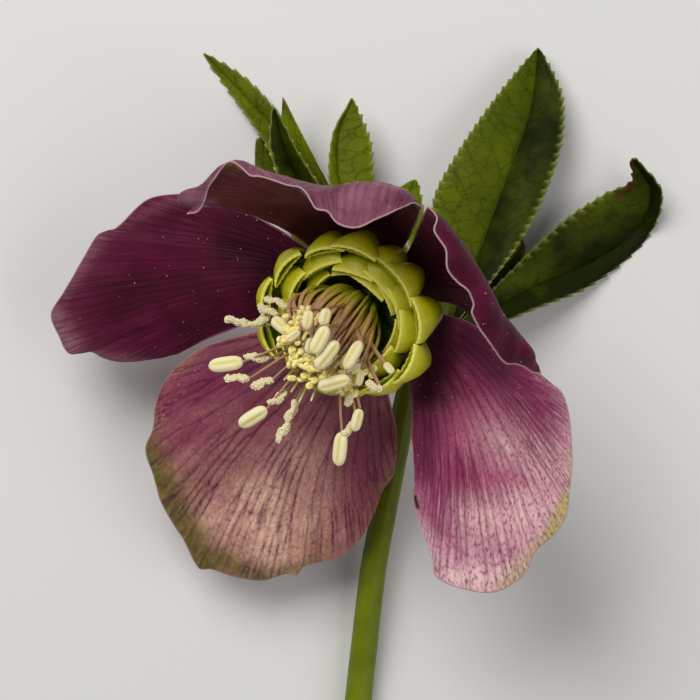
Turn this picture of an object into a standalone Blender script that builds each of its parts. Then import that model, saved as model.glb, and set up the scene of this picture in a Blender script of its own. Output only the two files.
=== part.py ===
# Hellebore flower, cut with its stem and its toothed bracts, lying on its back.
# Metres, +Z up. The flower faces up; the stem runs towards -Y.
import bmesh
import bpy
import math
import numpy as np
import random

MM = 0.001

# Corners closer than this after a join are one, mm
MERGE = 0.0002

# Placement. Points are given as seen from straight above, in steps of STEP mm
# across and down, with a height in mm over the receptacle.
STEP = 0.14
AIM = (350.0, 350.0)
EYE_HEIGHT = 367.5
RECEPTACLE_HEIGHT = 28.0
CENTRE_SHIFT = (-1.49, 12.12)

# Flower axis
RECEPTACLE = (372.0, 298.0)
AXIS_TILT = 30.0
AXIS_AZIMUTH = 217.0

# Blades, mm
SEPAL_THICK = 0.72
LEAF_THICK = 0.68
SEPAL_ROWS = 8
SEPAL_BASE_RADIUS = 2.3
SEPAL_BASE_RISE = 0.35
TOOTH_OUT = 0.3
TOOTH_NOTCH = 0.25
TOOTH_AHEAD = 0.5
TOOTH_SPAN = 0.03
LOBE_ARCH = 0.05
# Low points of a blade settle onto the surface it lies on
SETTLE = 0.3
STEM_SETTLE = 0.05

# Bract root: places along its path, half widths and half depths, mm
ROOT_PLACES = (-2.0, -1.0, 0.0, 1.0, 2.0)
ROOT_STEP = (0.7, -0.2, 0.0)
ROOT_WIDTHS = (0.9, 1.4, 1.6, 1.4, 0.9)
ROOT_DEPTHS = (0.45, 0.62, 0.66, 0.62, 0.45)
ROOT_SIDE = (0.35, 0.9, 0.0)
ROOT_SIDES = 8

# Stem, mm
STEM_SIDES = 12
STEM_FLAT = (1.0, 0.1, 0.0)
RECEPTACLE_RADIUS = 2.55
# Top of the stalk: mm along the flower axis and radius
RECEPTACLE_STATIONS = (
    (-5.4, 1.5), (-3.8, 1.65), (-2.4, 2.0), (-1.3, 2.45),
    (-0.75, RECEPTACLE_RADIUS), (-0.4, RECEPTACLE_RADIUS),
)

# Nectaries, mm. Rows: count, first azimuth, step, reach, rise, half width
NECTARY_ROWS = (
    (13, 0.0, 360.0 / 13, 12.3, 7.2, 2.85),
    (11, 16.4, 360.0 / 11, 9.9, 6.6, 2.75),
    (5, -22.0, 40.0, 7.9, 5.9, 2.3),
)
NECTARY_SEED = 11
NECTARY_SIDES = 6
# The rows stand in an oval, longer by NECTARY_OVAL towards -OVAL_TURN / 2 degrees
NECTARY_OVAL = 0.8
OVAL_TURN = 20.0
# Loose placing: degrees round the axis, mm of reach and rise, share of the width,
# mm of lean
NECTARY_SWING = 5.0
NECTARY_LOOSE = 0.5
NECTARY_WIDTHS = (0.92, 1.08)
NECTARY_LEAN = 0.7
# A pouch from stalk to lip: share of the reach and mm added, mm up and share of
# the rise, share of the half width and mm added, half depth
POUCH_STATIONS = (
    (0.0, 1.6, 1.5, 0.0, 0.0, 0.55, 0.45),
    (0.66, 0.0, 2.4, 0.15, 0.1, 0.9, 0.7),
    (0.96, 0.0, 2.7, 0.55, 0.85, 0.0, 1.0),
    (1.01, 0.0, 2.4, 0.92, 1.0, 0.0, 0.9),
    (0.95, -1.1, 2.4, 1.06, 0.94, 0.0, 0.55),
    (0.95, -2.4, 2.3, 0.99, 0.8, 0.0, 0.42),
)
COLLAR_RADIUS = 2.5
COLLAR_LOW = 1.15
COLLAR_HIGH = 2.1
COLLAR_SIDES = 14
CAP = 0.9

# Stamens, mm
STAMEN_SEED = 5
FILAMENT_RADIUS = 0.4
DOME_RADIUS = 1.9
DOME_LOW = 2.5
DOME_HIGH = 3.5
DOME_MIDDLE = 2.9
DOME_SIDES = 12
DOME_CAP = 0.6
STAMEN_SIDES = 4
# Stations along a filament and along its anther, and their shares of the radius
# or half width; an anther is flatter than wide and dips towards its tip
FILAMENT_PLACES = (0.0, 0.3, 0.62, 1.0)
FILAMENT_SHARES = (1.1, 1.0, 1.0, 0.9)
ANTHER_PLACES = (0.14, 0.55, 0.92)
ANTHER_SHARES = (0.8, 1.0, 0.5)
ANTHER_FLAT = 0.85
ANTHER_DIP = 0.12
# Spreading stamens: mm from the axis at the root, then where the filament bends
SPREAD = (0.7, 1.25)
SPREAD_RISE = 0.55
SPREAD_OUT = 0.6
ARCH_STAMENS = 9
ARCH_FIRST = -50.0
ARCH_LAST = 175.0
ARCH_ROOT = 1.1
ARCH_BULGE = 6.6
ARCH_RISE = 11.5
ARCH_ANTHER = (2.2, 0.75)
ARCH_SWING = 4.0
ARCH_SHARES = (0.9, 1.0)
ARCH_TURNS = (30.0, 80.0)
ARCH_LOOSE = 1.0
STYLE_BEND = 0.5
STYLE_SIDE = (0.6, -0.8, 0.0)
STYLE_RADII = (0.7, 0.8, 0.42, 0.38, 0.36)


def spot(across, down, rise):
    """A point seen at (across, down) that lies rise mm over the receptacle."""
    step = STEP * (1.0 - rise / EYE_HEIGHT)
    x = (across - AIM[0]) * step + CENTRE_SHIFT[0]
    y = (AIM[1] - down) * step + CENTRE_SHIFT[1]
    return np.array((x, y, RECEPTACLE_HEIGHT + rise))


def low_spot(across, down, height):
    """The same, with the height measured from the surface it lies on."""
    return spot(across, down, height - RECEPTACLE_HEIGHT)


def unit(vector):
    return vector / np.linalg.norm(vector)


def flower_axis():
    tilt = math.radians(AXIS_TILT)
    turn = math.radians(AXIS_AZIMUTH)
    flat = math.sin(tilt)
    return np.array((flat * math.cos(turn), flat * math.sin(turn), math.cos(tilt)))


AXIS = flower_axis()
CENTRE = spot(RECEPTACLE[0], RECEPTACLE[1], 0.0)


def ring_direction(azimuth):
    """Outward direction square to the flower axis, seen at this azimuth."""
    turn = math.radians(azimuth)
    flat = np.array((math.cos(turn), math.sin(turn), 0.0))
    flat[2] = -(flat @ AXIS) / AXIS[2]
    return unit(flat)


def in_flower(azimuth, radius, rise):
    return CENTRE + ring_direction(azimuth) * radius + AXIS * rise


def chord_knots(points):
    steps = np.linalg.norm(np.diff(points, axis=0), axis=1)
    knots = np.concatenate(((0.0,), np.cumsum(steps)))
    return knots / knots[-1]


def smooth_at(points, knots, t):
    """Cubic curve through the points, read at t."""
    last = len(points) - 1
    i = int(np.clip(np.searchsorted(knots, t) - 1, 0, last - 1))
    span = knots[i + 1] - knots[i]
    low = max(i - 1, 0)
    high = min(i + 2, last)
    start = (points[i + 1] - points[low]) / (knots[i + 1] - knots[low])
    end = (points[high] - points[i]) / (knots[high] - knots[i])
    s = (t - knots[i]) / span
    keep = (1 + 2 * s) * (1 - s) ** 2
    gain = s * s * (3 - 2 * s)
    lead = s * (1 - s) ** 2 * span
    trail = s * s * (s - 1) * span
    return points[i] * keep + points[i + 1] * gain + start * lead + end * trail


def skin(rows, places, across, along):
    """Blade surface through rows of points that lie at the given places."""
    spread = []
    for points in rows:
        knots = chord_knots(points)
        spread.append([smooth_at(points, knots, u) for u in across])
    spread = np.array(spread)
    grid = np.zeros((len(along), len(across), 3))
    for j in range(len(across)):
        column = spread[:, j]
        for i, v in enumerate(along):
            grid[i, j] = smooth_at(column, places, v)
    return grid


def grid_normals(grid):
    down = np.gradient(grid, axis=0)
    over = np.gradient(grid, axis=1)
    normals = np.cross(over, down)
    sizes = np.linalg.norm(normals, axis=2, keepdims=True)
    return normals / np.maximum(sizes, 1e-9)


def shell(grid, thick):
    """Closed thin solid about a grid; both faces are split alike."""
    rows, columns = grid.shape[:2]
    normals = grid_normals(grid)
    above = grid + normals * thick / 2
    below = grid - normals * thick / 2
    for low, high in ((above, below), (below, above)):
        resting = (low[..., 2] < high[..., 2]) & (low[..., 2] < SETTLE)
        low[..., 2][resting] = 0.0
        high[..., 2][resting] = np.maximum(high[..., 2][resting], thick)
    points = np.concatenate((above.reshape(-1, 3), below.reshape(-1, 3)))
    shift = rows * columns
    faces = []
    for i in range(rows - 1):
        for j in range(columns - 1):
            a = i * columns + j
            b = a + 1
            c = a + columns + 1
            d = a + columns
            if (i + j) % 2:
                pair = ((a, b, c), (a, c, d))
            else:
                pair = ((a, b, d), (b, c, d))
            for face in pair:
                faces.append(face)
                faces.append(tuple(k + shift for k in reversed(face)))
    rim = [j for j in range(columns)]
    rim += [i * columns + columns - 1 for i in range(1, rows)]
    rim += [(rows - 1) * columns + j for j in range(columns - 2, -1, -1)]
    rim += [i * columns for i in range(rows - 2, 0, -1)]
    for k, a in enumerate(rim):
        b = rim[(k + 1) % len(rim)]
        faces.append((b, a, a + shift))
        faces.append((b, a + shift, b + shift))
    return points, faces


def tube(path, widths, depths, side, sides, start_turn=0.0):
    """Closed tube along a path with oval sections."""
    path = np.array(path)
    count = len(path)
    tangents = np.gradient(path, axis=0)
    points = []
    for k in range(count):
        along = unit(tangents[k])
        flat = side[k] if isinstance(side, list) else side
        flat = unit(flat - along * (flat @ along))
        deep = np.cross(along, flat)
        for n in range(sides):
            turn = start_turn + 2 * math.pi * n / sides
            offset = flat * (math.cos(turn) * widths[k])
            offset = offset + deep * (math.sin(turn) * depths[k])
            points.append(path[k] + offset)
    faces = []
    for k in range(count - 1):
        for n in range(sides):
            a = k * sides + n
            b = k * sides + (n + 1) % sides
            faces.append((a, b, b + sides, a + sides))
    faces.append(tuple(range(sides - 1, -1, -1)))
    faces.append(tuple((count - 1) * sides + n for n in range(sides)))
    return np.array(points), faces


def leaf_tone(name, colour, roughness):
    material = bpy.data.materials.new(name)
    material.use_nodes = True
    shader = material.node_tree.nodes["Principled BSDF"]
    shader.inputs["Base Color"].default_value = (*colour, 1.0)
    shader.inputs["Roughness"].default_value = roughness
    return material


def closed_object(name, points, faces, home):
    """Object of one closed body whose faces look outward."""
    mesh = bpy.data.meshes.new(name)
    mesh.from_pydata([tuple(p * MM) for p in points], [], faces)
    work = bmesh.new()
    work.from_mesh(mesh)
    bmesh.ops.triangulate(work, faces=[f for f in work.faces if len(f.verts) > 3])
    bmesh.ops.recalc_face_normals(work, faces=work.faces)
    work.to_mesh(mesh)
    work.free()
    thing = bpy.data.objects.new(name, mesh)
    home.objects.link(thing)
    return thing


def finish_node(thing, material):
    thing.data.materials.clear()
    thing.data.materials.append(material)
    for face in thing.data.polygons:
        face.use_smooth = True
    return thing


def single(name, body, material):
    """A node made of one body."""
    thing = closed_object(name, *body, bpy.context.scene.collection)
    return finish_node(thing, material)


def fused(name, base, repeats, material, solver="EXACT"):
    """A node whose repeats are joined to the body they grow from."""
    scene = bpy.context.scene.collection
    thing = closed_object(name, *base, scene)
    group = bpy.data.collections.new(name + " repeats")
    scene.children.link(group)
    for k, body in enumerate(repeats):
        closed_object(f"{name} repeat {k:02d}", *body, group)
    join = thing.modifiers.new("join", "BOOLEAN")
    join.operation = "UNION"
    join.operand_type = "COLLECTION"
    join.collection = group
    join.solver = solver
    if solver == "EXACT":
        join.use_self = True
    bpy.context.view_layer.update()
    ready = thing.evaluated_get(bpy.context.evaluated_depsgraph_get())
    mesh = bpy.data.meshes.new_from_object(ready)
    thing.modifiers.remove(join)
    thing.data = mesh
    mesh.name = name
    for other in list(group.objects):
        bpy.data.objects.remove(other, do_unlink=True)
    bpy.data.collections.remove(group)
    work = bmesh.new()
    work.from_mesh(mesh)
    bmesh.ops.remove_doubles(work, verts=work.verts, dist=MERGE * MM)
    bmesh.ops.triangulate(work, faces=work.faces)
    bmesh.ops.recalc_face_normals(work, faces=work.faces)
    work.to_mesh(mesh)
    work.free()
    return finish_node(thing, material)


# Sepals. Each row runs from one side edge to the other: (across, down, rise).
# "base" gives the azimuths at the receptacle, "places" how far out each row is.
SEPALS = {
    "sepal_left": {
        "base": (196.0, 160.0),
        "places": (0.0, 0.28, 0.6, 1.0),
        "rows": (
            ((292, 308, -2.6), (289, 285, -3), (297, 262, -2.2), (305, 247, -1)),
            ((222, 333, -7), (214, 300, -5), (224, 262, -4), (240, 232, -3),
             (252, 214, -2)),
            ((178, 353, -11), (155, 358, -12), (136, 361, -13),
             (116, 361, -13.5), (103, 358, -14), (92, 352, -14.5),
             (80, 353, -15), (69, 353, -15.5), (61, 341, -16),
             (51.5, 314.5, -16), (64, 292, -14.5), (80, 265, -13),
             (97, 236, -11), (106, 231, -10.5), (116, 228, -10),
             (147, 200, -8), (180, 194, -6), (205, 196, -5)),
        ),
    },
    "sepal_lower_left": {
        "base": (266.0, 206.0),
        "places": (0.0, 0.28, 0.6, 1.0),
        "rows": (
            ((386, 385, -4), (355, 390, -6), (325, 377, -7), (305, 352, -6),
             (298, 322, -4)),
            ((396, 432, -9), (355, 465, -12), (300, 475, -14),
             (240, 450, -14), (212, 390, -11), (222, 341, -8)),
            ((396, 449, -11), (394, 473, -12.5), (383, 490, -14),
             (374, 512, -15), (361, 538, -16), (343, 555, -17),
             (326, 560, -18), (304, 566, -18.5), (297, 575, -19),
             (287, 574, -19), (271, 579, -19), (256, 580, -19),
             (234, 576, -19), (211, 569, -19), (199, 568, -19),
             (184, 540, -18), (171, 520, -18), (160, 498, -17),
             (154, 475, -17), (147, 457, -16), (146, 446, -16),
             (153, 429, -15), (155, 409, -14), (161, 390, -13),
             (174, 370, -12), (195, 352, -10)),
        ),
    },
    "sepal_lower_right": {
        "base": (338.0, 276.0),
        "places": (0.0, 0.28, 0.6, 1.0),
        "rows": (
            ((462, 320, 2.1), (458, 345, 1.8), (440, 368, 1), (408, 378, 0)),
            ((512, 352, 3), (515, 400, 3.5), (485, 440, 3), (440, 455, 1.5),
             (412, 443, -1)),
            ((541, 376, 4), (560, 390, 4), (568, 411, 4), (571, 435, 4),
             (572, 464, 4), (570, 484, 4), (566, 515, 4), (553, 535, 4),
             (535, 551, 3.5), (527, 570, 3), (517, 580, 3), (500, 590, 2.5),
             (482, 592, 2), (462, 588, 2), (447, 583, 2), (435, 575, 1.5),
             (433, 562, 1.5), (428, 546, 1.5), (421, 525, 1.5), (417, 510, 1),
             (414, 490, 0)),
        ),
    },
    "sepal_right": {
        "base": (50.0, 350.0),
        "places": (0.0, 0.24, 0.5, 0.76, 1.0),
        "rows": (
            ((407, 254, 7.3), (434, 262, 8.1), (453, 284, 7.6), (450, 303, 4.8)),
            ((420, 224, 15), (443, 232, 16), (466, 262, 15.5), (486, 300, 14),
             (495, 320, 11), (488, 330, 7)),
            ((425, 212, 23), (439, 217, 25), (453, 235, 26), (477, 270, 25),
             (493, 300, 24), (511, 330, 20), (531, 351, 16), (531, 359, 12)),
            ((428, 207, 28), (436, 217, 29), (434, 230, 30), (440, 240, 30),
             (446, 250, 30), (448, 268, 30), (458, 280, 29.5), (470, 290, 29),
             (474, 305, 28), (472, 313, 28), (480, 330, 26.5), (490, 345, 25),
             (505, 363, 22), (515, 364, 20), (525, 367, 18), (532, 372, 16),
             (541, 373, 14)),
        ),
    },
    "sepal_top": {
        "base": (140.0, 64.0),
        "places": (0.0, 0.24, 0.5, 0.77, 1.0),
        "rows": (
            ((306, 243, 2.4), (322, 228, 4.0), (350, 218, 5.8), (380, 222, 6.6),
             (402, 249, 7.2)),
            ((262, 219, 7.5), (263, 200, 11), (285, 192, 15), (315, 194, 17),
             (350, 192, 17.5), (385, 193, 17.5), (407, 203, 17),
             (414, 226, 15)),
            ((205, 204, 12), (181, 204, 13.5), (183, 193, 15), (203, 190, 17),
             (214, 182, 18.5), (224, 171, 20), (240, 163, 23), (262, 170, 25),
             (290, 181, 27), (313, 192, 28), (350, 190, 29), (385, 190, 29),
             (405, 193, 27), (416, 202, 24), (419, 213, 21)),
            ((187, 213, 17), (196, 211, 18), (203, 204, 19), (208, 190, 20.5),
             (215, 180, 22), (222, 169, 23), (231, 162, 25), (243, 168, 27),
             (251, 175, 28), (260, 176, 28), (272, 180, 29), (290, 186, 30),
             (300, 189, 31), (306, 195, 31.5), (310, 202, 32), (315, 210, 32),
             (327, 213, 32), (335, 222, 32), (343, 226.5, 32), (353, 228, 32),
             (363, 226, 32), (376, 219, 32), (389, 213, 31.5), (401, 208, 30.5),
             (413, 204, 28), (421, 206, 25.5)),
        ),
    },
}

# Bract lobes: left edge, midrib and right edge from root to tip, then teeth.
# Heights are over the surface it lies on.
BRACTS = {
    "bract_left": {
        "root": (407, 337, 9.2),
        "lobes": (
            (((402, 338, 9.0), (322, 244, 5.5), (262, 138, 1.9), (232, 95, 0.5),
              (205, 57, 0.1)),
             ((408, 332, 9.0), (334, 236, 4.6), (285, 142, 1.5), (246, 98, 0.1),
              (204, 54, 0.0)),
             ((413, 327, 9.0), (346, 228, 5.5), (288, 128, 2.2),
              (249, 82, 0.4), (206, 54, 0.1)), 11),
            (((401, 335, 9.6), (322, 250, 12), (280, 180, 13.5),
              (270, 145, 13.5), (272, 110, 13.5)),
             ((407, 329, 9.6), (334, 240, 10), (300, 180, 10), (286, 150, 11),
              (274, 108, 13)),
             ((411, 325, 9.6), (343, 232, 11.5), (322, 190, 12),
              (297, 150, 13), (276, 110, 13.5)), 7),
            (((406, 331, 9.3), (350, 244, 7.4), (322, 197, 6.2), (300, 168, 6),
              (276, 140, 6.5)),
             ((411, 325, 9.3), (356, 238, 7.0), (326, 192, 5.9), (304, 160, 5.8),
              (281, 130, 6.5)),
             ((415, 321, 9.3), (362, 234, 7.4), (330, 187, 6.1), (310, 150, 6.2),
              (283, 97, 7)), 8),
            (((402, 341, 8.8), (312, 262, 3.2), (257, 176, 0.5),
              (256, 140, 0.34)),
             ((406, 338, 8.8), (320, 256, 3.0), (266, 174, 0.5),
              (264, 136, 0.34)),
             ((409, 334, 8.8), (328, 250, 3.4), (276, 170, 0.7),
              (272, 138, 0.4)), 3),
        ),
    },
    "bract_upper": {
        "root": (429, 313, 9.3),
        "lobes": (
            (((422, 312, 9.2), (392, 262, 9), (359, 224, 8.6), (332, 192, 8.4),
              (333, 135, 7), (350, 102, 6)),
             ((427, 308, 9.2), (400, 256, 7.6), (366, 218, 7), (341, 188, 6.8),
              (337, 134, 5.5), (352, 99, 5.5)),
             ((431, 306, 9.2), (408, 250, 9), (384, 214, 7.8), (374, 182, 7.4),
              (370, 143, 6.5), (354, 102, 6)), 9),
            (((427, 308, 9.4), (414, 258, 8.8), (401, 215, 8.5),
              (396, 192, 8.3), (411, 181, 8.3)),
             ((431, 307, 9.4), (422, 255, 8.3), (412, 212, 8), (410, 194, 8),
              (414, 180, 8.3)),
             ((435, 307, 9.4), (429, 250, 8.8), (423, 212, 8.5),
              (420, 194, 8.3), (417, 181, 8.3)), 4),
        ),
    },
    "bract_right": {
        "root": (451, 331, 9.3),
        "lobes": (
            (((446, 322, 9.2), (440, 255, 7.5), (433, 205, 7), (455, 158, 6.5),
              (497, 97, 5), (534, 52, 3)),
             ((451, 322, 9.2), (475, 264, 6), (510, 168, 5), (532, 104, 3.5),
              (538, 48, 2.5)),
             ((455, 325, 9.2), (521, 240, 8.5), (557, 158, 7), (562, 100, 5),
              (542, 52, 3)), 14),
            (((452, 324, 9.0), (466, 300, 7), (484, 277, 6), (505, 252, 5),
              (521, 240, 5)),
             ((455, 327, 9.0), (472, 302, 6.5), (493, 280, 5), (512, 260, 4.5),
              (524, 242, 5)),
             ((458, 331, 9.0), (480, 306, 7), (501, 286, 6), (517, 268, 5),
              (526, 246, 5)), 3),
            (((454, 328, 9.2), (503, 279, 7), (560, 224, 5), (606, 194, 3),
              (632, 181, 4.5), (630, 162, 6.5)),
             ((457, 334, 9.2), (527, 290, 5), (595, 260, 1.0), (636, 230, 0.0),
              (652, 194, 2.3), (632, 159, 7)),
             ((458, 341, 9.2), (532, 310, 6.5), (592, 284, 1.6),
              (645, 240, 0.1), (662, 194, 4.6), (636, 158, 7.5)), 9),
        ),
    },
}

# Stem path: (across, down, height over the surface, radius)
STEM_PATH = (
    (345, 812, 1.93, 2.0), (351, 760, 1.95, 2.0), (358, 700, 2.2, 2.0),
    (363, 655, 2.8, 1.98), (373, 570, 4.6, 1.92), (383, 515, 6.2, 1.88),
    (392, 470, 7.6, 1.82), (400, 430, 8.9, 1.78), (406, 400, 9.9, 1.74),
    (414, 370, 11.0, 1.74), (424, 344, 11.9, 1.75), (433, 324, 12.3, 1.62),
    (439, 306, 12.9, 1.52), (439, 291, 14.0, 1.46), (432, 279, 15.6, 1.45),
    (419, 273, 17.8, 1.45), (404, 274, 20.2, 1.45),
)

# Anthers: (across, down, rise, turn from straight left, length, width), the
# far ones first. The small packed ones are placed by rule.
ANTHERS = (
    (226, 364, 4.0, 8, 5.2, 1.25), (257, 357, 5.0, -8, 3.6, 0.8),
    (237, 378, 4.5, 0, 3.6, 0.8), (262, 383, 5.5, 22, 3.4, 0.85),
    (277, 397, 6.0, 38, 3.2, 0.85), (253, 417, 5.0, 32, 4.8, 1.25),
    (291, 411, 6.5, 62, 3.4, 0.85), (283, 432, 6.0, 55, 3.4, 0.85),
    (340, 449, 7.3, 84, 5.0, 1.2), (352, 398, 9.0, 60, 2.8, 0.8),
    (357, 420, 8.6, 76, 3.4, 0.95), (350, 431, 7.8, 50, 3.2, 0.85),
    (374, 386, 11.5, -30, 2.6, 0.85), (389, 368, 12.5, -50, 1.8, 0.7),
    (334, 383, 12.0, 16, 4.8, 1.2), (327, 355, 14.5, 52, 5.0, 1.2),
    (320, 340, 15.5, 62, 4.4, 1.15), (353, 355, 13.5, 60, 4.6, 1.1),
    (282, 326, 9.5, -38, 3.6, 1.1), (308, 320, 14.0, 80, 2.8, 0.9),
    (325, 317, 15.0, 75, 2.6, 0.95), (276, 303, 9.0, -20, 3.6, 0.7),
    (268, 310, 8.0, -22, 3.2, 0.8), (259, 321, 7.0, 25, 3.2, 0.8),
    (237, 323, 5.5, -14, 3.6, 0.8),
)
# Heads of the arching stamens lie between these two places: (across, down, rise)
ARCH_HEADS = ((358.0, 376.0, 11.5), (292.0, 334.0, 11.0))
STYLES = ((291, 392, 8.5), (299, 402, 9.0), (311, 401, 9.5), (284, 380, 8.0))


def sepal_grid(spec, across, along):
    start, end = spec["base"]
    if end - start > 180.0:
        end -= 360.0
    if start - end > 180.0:
        start -= 360.0
    ring = []
    for k in range(5):
        azimuth = start + (end - start) * k / 4.0
        ring.append(in_flower(azimuth, SEPAL_BASE_RADIUS, SEPAL_BASE_RISE))
    rows = [np.array(ring)]
    for row in spec["rows"]:
        rows.append(np.array([spot(*point) for point in row]))
    return skin(rows, np.array(spec["places"]), across, along)


def sepal(name, material):
    spec = SEPALS[name]
    margin = np.array([spot(*point) for point in spec["rows"][-1]])
    across = chord_knots(margin)
    along = np.linspace(0.0, 1.0, SEPAL_ROWS)
    return single(name, shell(sepal_grid(spec, across, along), SEPAL_THICK), material)


def lobe_body(lobe):
    """Toothed blade between a left edge, a midrib and a right edge."""
    left, rib, right, teeth = lobe
    lines = []
    for line in (left, rib, right):
        points = np.array([low_spot(*point) for point in line])
        lines.append((points, chord_knots(points)))
    count = teeth * 2 + 5
    stations = np.linspace(0.0, 1.0, count)
    grid = np.zeros((count, 5, 3))
    for i, t in enumerate(stations):
        edge_l, centre, edge_r = (smooth_at(p, k, t) for p, k in lines)
        ahead = unit(smooth_at(*lines[1], min(t + TOOTH_SPAN, 1.0))
                     - smooth_at(*lines[1], max(t - TOOTH_SPAN, 0.0)))
        toothed = i % 2 and 2 < i < count - 1
        for edge in (edge_l, edge_r):
            out = unit(edge - centre)
            if toothed:
                edge += (out * TOOTH_OUT + ahead * TOOTH_AHEAD)
            elif i < count - 2:
                edge -= out * TOOTH_NOTCH
        grid[i] = (edge_l, (edge_l + centre) / 2, centre, (edge_r + centre) / 2, edge_r)
    lift = unit(np.cross(grid[count // 2, 4] - grid[count // 2, 0],
                         grid[-1, 2] - grid[0, 2]))
    if lift[2] < 0:
        lift = -lift
    widths = np.linalg.norm(grid[:, 4] - grid[:, 0], axis=1)
    for j in (1, 3):
        grid[:, j] += lift * (widths * LOBE_ARCH)[:, None]
    return shell(grid, LEAF_THICK)


def bract(name, material):
    """The lobes of one bract grow from a small clasping root."""
    spec = BRACTS[name]
    centre = low_spot(*spec["root"])
    path = [centre + np.array(ROOT_STEP) * k for k in ROOT_PLACES]
    side = np.array(ROOT_SIDE)
    root = tube(path, ROOT_WIDTHS, ROOT_DEPTHS, side, ROOT_SIDES, math.pi / ROOT_SIDES)
    lobes = [lobe_body(lobe) for lobe in spec["lobes"]]
    return fused(name, root, lobes, material, "MANIFOLD")


def stem(material):
    """Stem, nodding stalk and the receptacle the flower grows from."""
    path = [low_spot(*point[:3]) for point in STEM_PATH]
    radii = [point[3] for point in STEM_PATH]
    for rise, radius in RECEPTACLE_STATIONS:
        path.append(CENTRE + AXIS * rise)
        radii.append(radius)
    side = []
    flat = np.array(STEM_FLAT)
    tangents = np.gradient(np.array(path), axis=0)
    for tangent in tangents:
        along = unit(tangent)
        flat = unit(flat - along * (flat @ along))
        side.append(flat)
    points, faces = tube(path, radii, radii, side, STEM_SIDES, math.pi / STEM_SIDES)
    points[:, 2] = np.where(points[:, 2] < STEM_SETTLE, 0.0, points[:, 2])
    return single("stem", (points, faces), material)


def nectary(azimuth, reach, rise, width, lean):
    """Pouch on a stalk, bent over at the top so its lip points at the stamens."""
    outward = ring_direction(azimuth)
    around = unit(np.cross(AXIS, outward))
    path = []
    widths = []
    depths = []
    for far, more, up, high, wide, extra, deep in POUCH_STATIONS:
        radius = far * reach + more
        sway = lean * (radius / reach) ** 2
        path.append(CENTRE + outward * radius + AXIS * (up + high * rise) + around * sway)
        widths.append(wide * width + extra)
        depths.append(deep)
    return tube(path, widths, depths, around, NECTARY_SIDES)


def nectaries(material):
    """Overlapping rows of pouches on one small collar."""
    draw = random.Random(NECTARY_SEED)
    pouches = []
    for count, first, step, reach, rise, width in NECTARY_ROWS:
        for k in range(count):
            azimuth = first + step * k + draw.uniform(-NECTARY_SWING, NECTARY_SWING)
            oval = NECTARY_OVAL * math.cos(math.radians(2.0 * azimuth + OVAL_TURN))
            far = reach + oval + draw.uniform(-NECTARY_LOOSE, NECTARY_LOOSE)
            high = rise + draw.uniform(-NECTARY_LOOSE, NECTARY_LOOSE)
            wide = width * draw.uniform(*NECTARY_WIDTHS)
            lean = draw.uniform(-NECTARY_LEAN, NECTARY_LEAN)
            pouches.append(nectary(azimuth, far, high, wide, lean))
    rises = (COLLAR_LOW, (COLLAR_LOW + COLLAR_HIGH) / 2, COLLAR_HIGH)
    path = [CENTRE + AXIS * a for a in rises]
    radii = (COLLAR_RADIUS * CAP, COLLAR_RADIUS, COLLAR_RADIUS * CAP)
    collar = tube(path, radii, radii, ring_direction(0.0), COLLAR_SIDES)
    return fused("nectaries", collar, pouches, material)


def stamen(root, bend, head, turn, length, width):
    """Filament from root to anther, drawn towards the bend on its way."""
    angle = math.radians(turn)
    ahead = unit(np.array((-math.cos(angle), -math.sin(angle), -ANTHER_DIP)))
    back = head - ahead * length / 2
    path = []
    for t in FILAMENT_PLACES:
        path.append(root * (1 - t) ** 2 + bend * 2 * t * (1 - t) + back * t * t)
    for t in ANTHER_PLACES:
        path.append(back + ahead * length * t)
    widths = [FILAMENT_RADIUS * share for share in FILAMENT_SHARES]
    widths += [width * share for share in ANTHER_SHARES]
    depths = [min(w, width * ANTHER_FLAT) for w in widths]
    side = np.array((-ahead[1], ahead[0], 0.0))
    return tube(path, widths, depths, side, STAMEN_SIDES, math.pi / STAMEN_SIDES)


def spreading_stamen(row, draw):
    """Stamen whose filament leaves along the axis and leans to its anther."""
    across, down, rise, turn, length, width = row
    head = spot(across, down, rise)
    out = head - (CENTRE + AXIS * DOME_HIGH)
    spread = unit(out - AXIS * (out @ AXIS)) * draw.uniform(*SPREAD)
    root = CENTRE + AXIS * DOME_MIDDLE + spread
    reach = np.linalg.norm(head - root)
    bend = root + AXIS * reach * SPREAD_RISE + spread * SPREAD_OUT
    return stamen(root, bend, head, turn, length, width)


def arching_stamen(share, draw):
    """Stamen that bows out round the upper side and over the middle."""
    azimuth = ARCH_FIRST + (ARCH_LAST - ARCH_FIRST) * share
    azimuth += draw.uniform(-ARCH_SWING, ARCH_SWING)
    root = in_flower(azimuth, ARCH_ROOT, DOME_MIDDLE)
    bend = in_flower(azimuth, ARCH_BULGE * draw.uniform(*ARCH_SHARES), ARCH_RISE)
    start, end = (spot(*place) for place in ARCH_HEADS)
    loose = [draw.uniform(-ARCH_LOOSE, ARCH_LOOSE) for k in range(3)]
    head = start + (end - start) * share + np.array(loose)
    return stamen(root, bend, head, draw.uniform(*ARCH_TURNS), *ARCH_ANTHER)


def style(place):
    tip = spot(*place)
    foot = CENTRE + AXIS * DOME_MIDDLE
    bend = foot + AXIS * np.linalg.norm(tip - foot) * STYLE_BEND
    path = []
    for t in np.linspace(0.0, 1.0, len(STYLE_RADII)):
        path.append(foot * (1 - t) ** 2 + bend * 2 * t * (1 - t) + tip * t * t)
    return tube(path, STYLE_RADII, STYLE_RADII, np.array(STYLE_SIDE), STAMEN_SIDES)


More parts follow.
